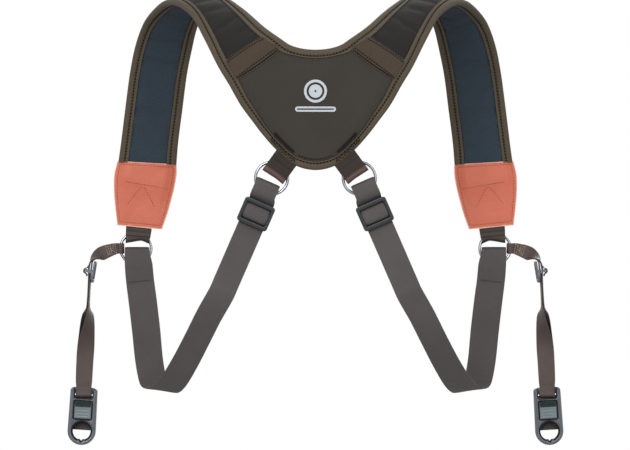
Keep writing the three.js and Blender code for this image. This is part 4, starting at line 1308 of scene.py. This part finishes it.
# ---------------------------------------------------------------- quick-release connector
def to_connector(obj, sign):
    return settle(obj, Matrix.Translation(Vector(CONNECTOR_BAR) * MM)
                  @ Matrix.Rotation(CONNECTOR_TILT, 4, "Y"), sign)


def connector_outline(with_mouth=True):
    """Outer loop of the housing, with or without the mouth for the webbing at its top."""
    half, top, corner = 12.25, 6.6, 3.2
    mouth, floor = 8.5, -3.6
    points = []
    for a in np.linspace(math.pi, 2 * math.pi, 40):
        points.append((half * math.cos(a), CONNECTOR_RING_Z + half * math.sin(a)))
    for a in np.linspace(0, math.pi / 2, 7):
        points.append((half - 0.5 - corner + corner * math.cos(a), top - corner + corner * math.sin(a)))
    if with_mouth:
        points += [(mouth, top), (mouth, floor + 1.2), (mouth - 1.2, floor), (-mouth + 1.2, floor),
                   (-mouth, floor + 1.2), (-mouth, top)]
    for a in np.linspace(math.pi / 2, math.pi, 7):
        points.append((-half + 0.5 + corner + corner * math.cos(a), top - corner + corner * math.sin(a)))
    return points


def ring_hole(radius, shoulder=4.0, notch=1.8, ring_z=CONNECTOR_RING_Z):
    """Outline of the connector's ring opening, with a small notch at its bottom."""
    floor = math.sqrt(radius ** 2 - shoulder ** 2)
    start = math.atan2(-floor, shoulder)
    points = [(radius * math.cos(a), ring_z + radius * math.sin(a))
              for a in np.linspace(start, math.pi - start, 44)]
    low = ring_z - floor
    return points + [(-notch, low), (-0.25, low - notch), (0.25, low - notch), (notch, low)]


WINDOW = (15.6, 16.0, -13.2)  # width, height and middle height of the button's window
BUTTON_PLAY = 0.45            # gap between the button and its window, all round
SHADE_SHEET_LIFT = 0.06             # how far the dark sheet of painted shade stands above the button


def build_connectors():
    width, height, middle = WINDOW
    for side, sign in SIDES.items():
        body = f"connector_{side}"
        window = rounded(width, height, 1.3, (0, middle))
        lip = rounded(width + 1.9, height + 1.9, 2.2, (0, middle))
        hole = ring_hole(9.1)
        for name, loops, y_from, y_to, bevel, mat, segments, *nodes in (
                ("front_shell", [connector_outline(), window[::-1], hole], -4.0, 1.2, 0.75,
                 SHELL_PLASTIC, 3, f"connector_housing_{side}"),
                ("back_shell", [connector_outline(), hole], 1.35, 3.2, 0.2,
                 SHELL_PLASTIC, 3, f"connector_housing_{side}"),
                ("back_wall", [connector_outline(False), hole], 3.1, 4.0, 0.4,
                 SHELL_PLASTIC, 3, f"connector_housing_{side}"),
                # Black rim round the window: painted shade, the dark gap round the button.
                ("window_frame", [lip, window[::-1]], -4.35, -3.6, 0.22, RUBBER_AND_SHADE, 2),
                # Black liner of the ring opening, partly the liner itself, widened as painted shade of the
                # ring's inner wall seen at an angle.
                ("ring_liner", [ring_hole(9.08), ring_hole(7.9, 3.3, 1.3)[::-1]], -3.2, 2.6, 0.3, RUBBER_AND_SHADE, 2)):
            piece = outline_solid(f"connector_{name}_{side}", loops, y_from, y_to, bevel, mat, segments)
            place(to_connector(piece, sign), body, "connector_shell", *nodes)
        bar = make(f"connector_bar_{side}", *bar_surface(), BAR_STEEL)
        place(to_connector(bar, sign), body, "steel_bar", f"connector_bar_{side}")
        button = make(f"push_button_{side}", *button_surface(), BUTTON_PLASTIC, sharp=50)
        place(to_connector(button, sign), f"push_button_{side}", "button", f"push_button_{side}")
        # A thin dark sheet on the button's sloped top: painted shade standing for the shadow of the shell's
        # top rim.
        slope = make(f"push_button_shade_sheet_{side}", *button_surface(as_shade_sheet=True), SLOPE_SHADE_SHEET, sharp=50)
        place(to_connector(slope, sign), f"push_button_{side}", "button")
        spring = make(f"button_spring_{side}", *spring_surface(), STEEL, sharp=80)
        place(to_connector(spring, sign), body, "steel_wire", f"button_spring_{side}")
        tongue_rows = [((0, 5.0, -6 - k * 25 / 8), X, 17.2 - 0.02 * k) for k in range(9)]
        tongue = strap(f"connector_tongue_{side}", tongue_rows, 1.3, 40, RED_CLOTH, columns=11, wobble=0.1)[0]
        place(to_connector(tongue, sign), body, "red_brown_webbing", f"connector_tongue_{side}")


def bar_surface():
    """Steel bar along X with domed, slightly thicker ends."""
    x = np.array([-8.2, -8.15, -7.9, -7.0, -6.8, 0, 6.8, 7.0, 7.9, 8.15, 8.2])
    r = np.array([0.6, 1.05, 1.25, 1.25, 1.15, 1.15, 1.15, 1.25, 1.25, 1.05, 0.6])
    rings = np.array([[(xi, ri * math.cos(a), ri * math.sin(a)) for a in circle(20)] for xi, ri in zip(x, r)])
    return sweep(rings, plain_uv(rings))


def button_surface(as_shade_sheet=False):
    """Push button with a sloped top, a dished face with grip ridges, and soft rims; or a thin dark sheet over
    its sloped top, painted shade for the shadow that the shell's top rim casts.
    """
    rows, columns = 44, 36
    width, height, middle = WINDOW
    half = width / 2 - BUTTON_PLAY
    top, bottom = middle + height / 2 - BUTTON_PLAY, middle - height / 2 + BUTTON_PLAY
    x = np.linspace(-half, half, columns)[None, :] * (0.94 if as_shade_sheet else 1.0)
    z = np.linspace(top, bottom, rows)[:, None]
    if as_shade_sheet:
        z = np.linspace(top - 0.4, top - 4.9, rows)[:, None]
    rim = np.minimum(np.minimum(x + half, half - x), np.minimum(top - z, z - bottom))
    slope = 1.5 * (1 - smooth((top - z) / 5.2))
    dish = 0.45 * np.exp(-((x / 5.5) ** 2 + ((z - (middle - 2.5)) / 5.0) ** 2))
    ridges = sum(0.3 * np.exp(-(((z - (middle - 1.2 - 2.6 * k)) / 0.5) ** 2)) for k in range(3))
    ridges = ridges * smooth((4.8 - np.abs(x)) / 1.2)
    y = -4.6 + slope + dish - ridges + 0.55 * (1 - smooth(rim / 0.9))
    front = np.stack(np.broadcast_arrays(x, y - (SHADE_SHEET_LIFT if as_shade_sheet else 0.0), z), -1)
    seat = -1.6 - 1.4 * smooth((4.7 - np.hypot(x, z - middle)) / 0.5)   # round pocket for the spring
    back = np.stack(np.broadcast_arrays(x, y + 0.2 if as_shade_sheet else seat, z), -1)
    return slab(front, back, front[..., [0, 2]])


def spring_surface():
    """Coil spring with closed ends."""
    turns, radius, wire = 2.5, 3.4, 0.33
    t = np.linspace(0, 1, 90)
    angle = 2 * math.pi * turns * t
    line = np.stack([radius * np.cos(angle), -0.95 + 2.3 * t, WINDOW[2] + radius * np.sin(angle)], -1)
    along = unit(np.gradient(line, axis=0))
    out = unit(np.stack([np.cos(angle), 0 * angle, np.sin(angle)], -1))
    side = np.cross(along, out)
    rings = np.stack([line + wire * (out * math.cos(a) + side * math.sin(a)) for a in circle(8)], 1)
    return sweep(rings, plain_uv(rings))


build_connectors()


# ---------------------------------------------------------------- stage
FLOOR_DROP, FLOOR_REACH, FLOOR_TONE = 0.35, 3.4, 0.42   # metres below the part, radius in metres, grey
LIGHTS = (("key", (-0.9, -2.8, 0.8), 98, 1.6), ("fill", (1.7, -2.4, 0.1), 42, 2.2),
          ("top", (0.2, 0.1, 2.4), 12, 2.0), ("rear", (0.5, 2.6, 1.0), 70, 2.2))  # place, watts, size
LIGHTS_AIM = Vector((0, 0, -0.19))
CAMERA_PLACE, CAMERA_LENS, CAMERA_SENSOR = (-0.0004, -3.5, -0.1914), 233.5, 36.0   # metres, and mm


def build_stage():
    floor_z = cad_bounds[0].z - FLOOR_DROP
    ring = [(FLOOR_REACH * math.cos(a), FLOOR_REACH * math.sin(a), floor_z)
            for a in np.linspace(0, 2 * math.pi, 96)[:-1]]
    mesh = bpy.data.meshes.new("floor")
    mesh.from_pydata(ring, [], [range(len(ring))])
    mat, _, bsdf = shader("floor_paint")
    bsdf.inputs["Base Color"].default_value = (FLOOR_TONE, FLOOR_TONE, FLOOR_TONE, 1)
    bsdf.inputs["Roughness"].default_value = 0.9
    mesh.materials.append(mat)
    floor = bpy.data.objects.new("floor", mesh)
    bpy.context.scene.collection.objects.link(floor)
    world = bpy.context.scene.world or bpy.data.worlds.new("studio")
    bpy.context.scene.world = world
    world.use_nodes = True
    bpy.context.scene.view_settings.view_transform = "Standard"
    backdrop = world.node_tree.nodes["Background"]
    backdrop.inputs[0].default_value = (1, 1, 1, 1)
    backdrop.inputs[1].default_value = 1.0
    for name, where, power, size in LIGHTS:
        light = bpy.data.lights.new(name, "AREA")
        light.energy, light.size = power, size
        lamp = bpy.data.objects.new(name, light)
        lamp.location = where
        aim = LIGHTS_AIM - Vector(where)
        lamp.rotation_euler = aim.to_track_quat("-Z", "Y").to_euler()
        bpy.context.scene.collection.objects.link(lamp)


def build_camera():
    camera = bpy.data.objects.new("camera", bpy.data.cameras.new("camera"))
    camera.data.sensor_width = CAMERA_SENSOR
    camera.data.lens = CAMERA_LENS
    camera.location = CAMERA_PLACE
    camera.rotation_euler = (math.radians(90), 0, 0)
    camera.data.clip_end = 200
    bpy.context.scene.collection.objects.link(camera)
    bpy.context.scene.camera = camera


build_stage()
build_camera()
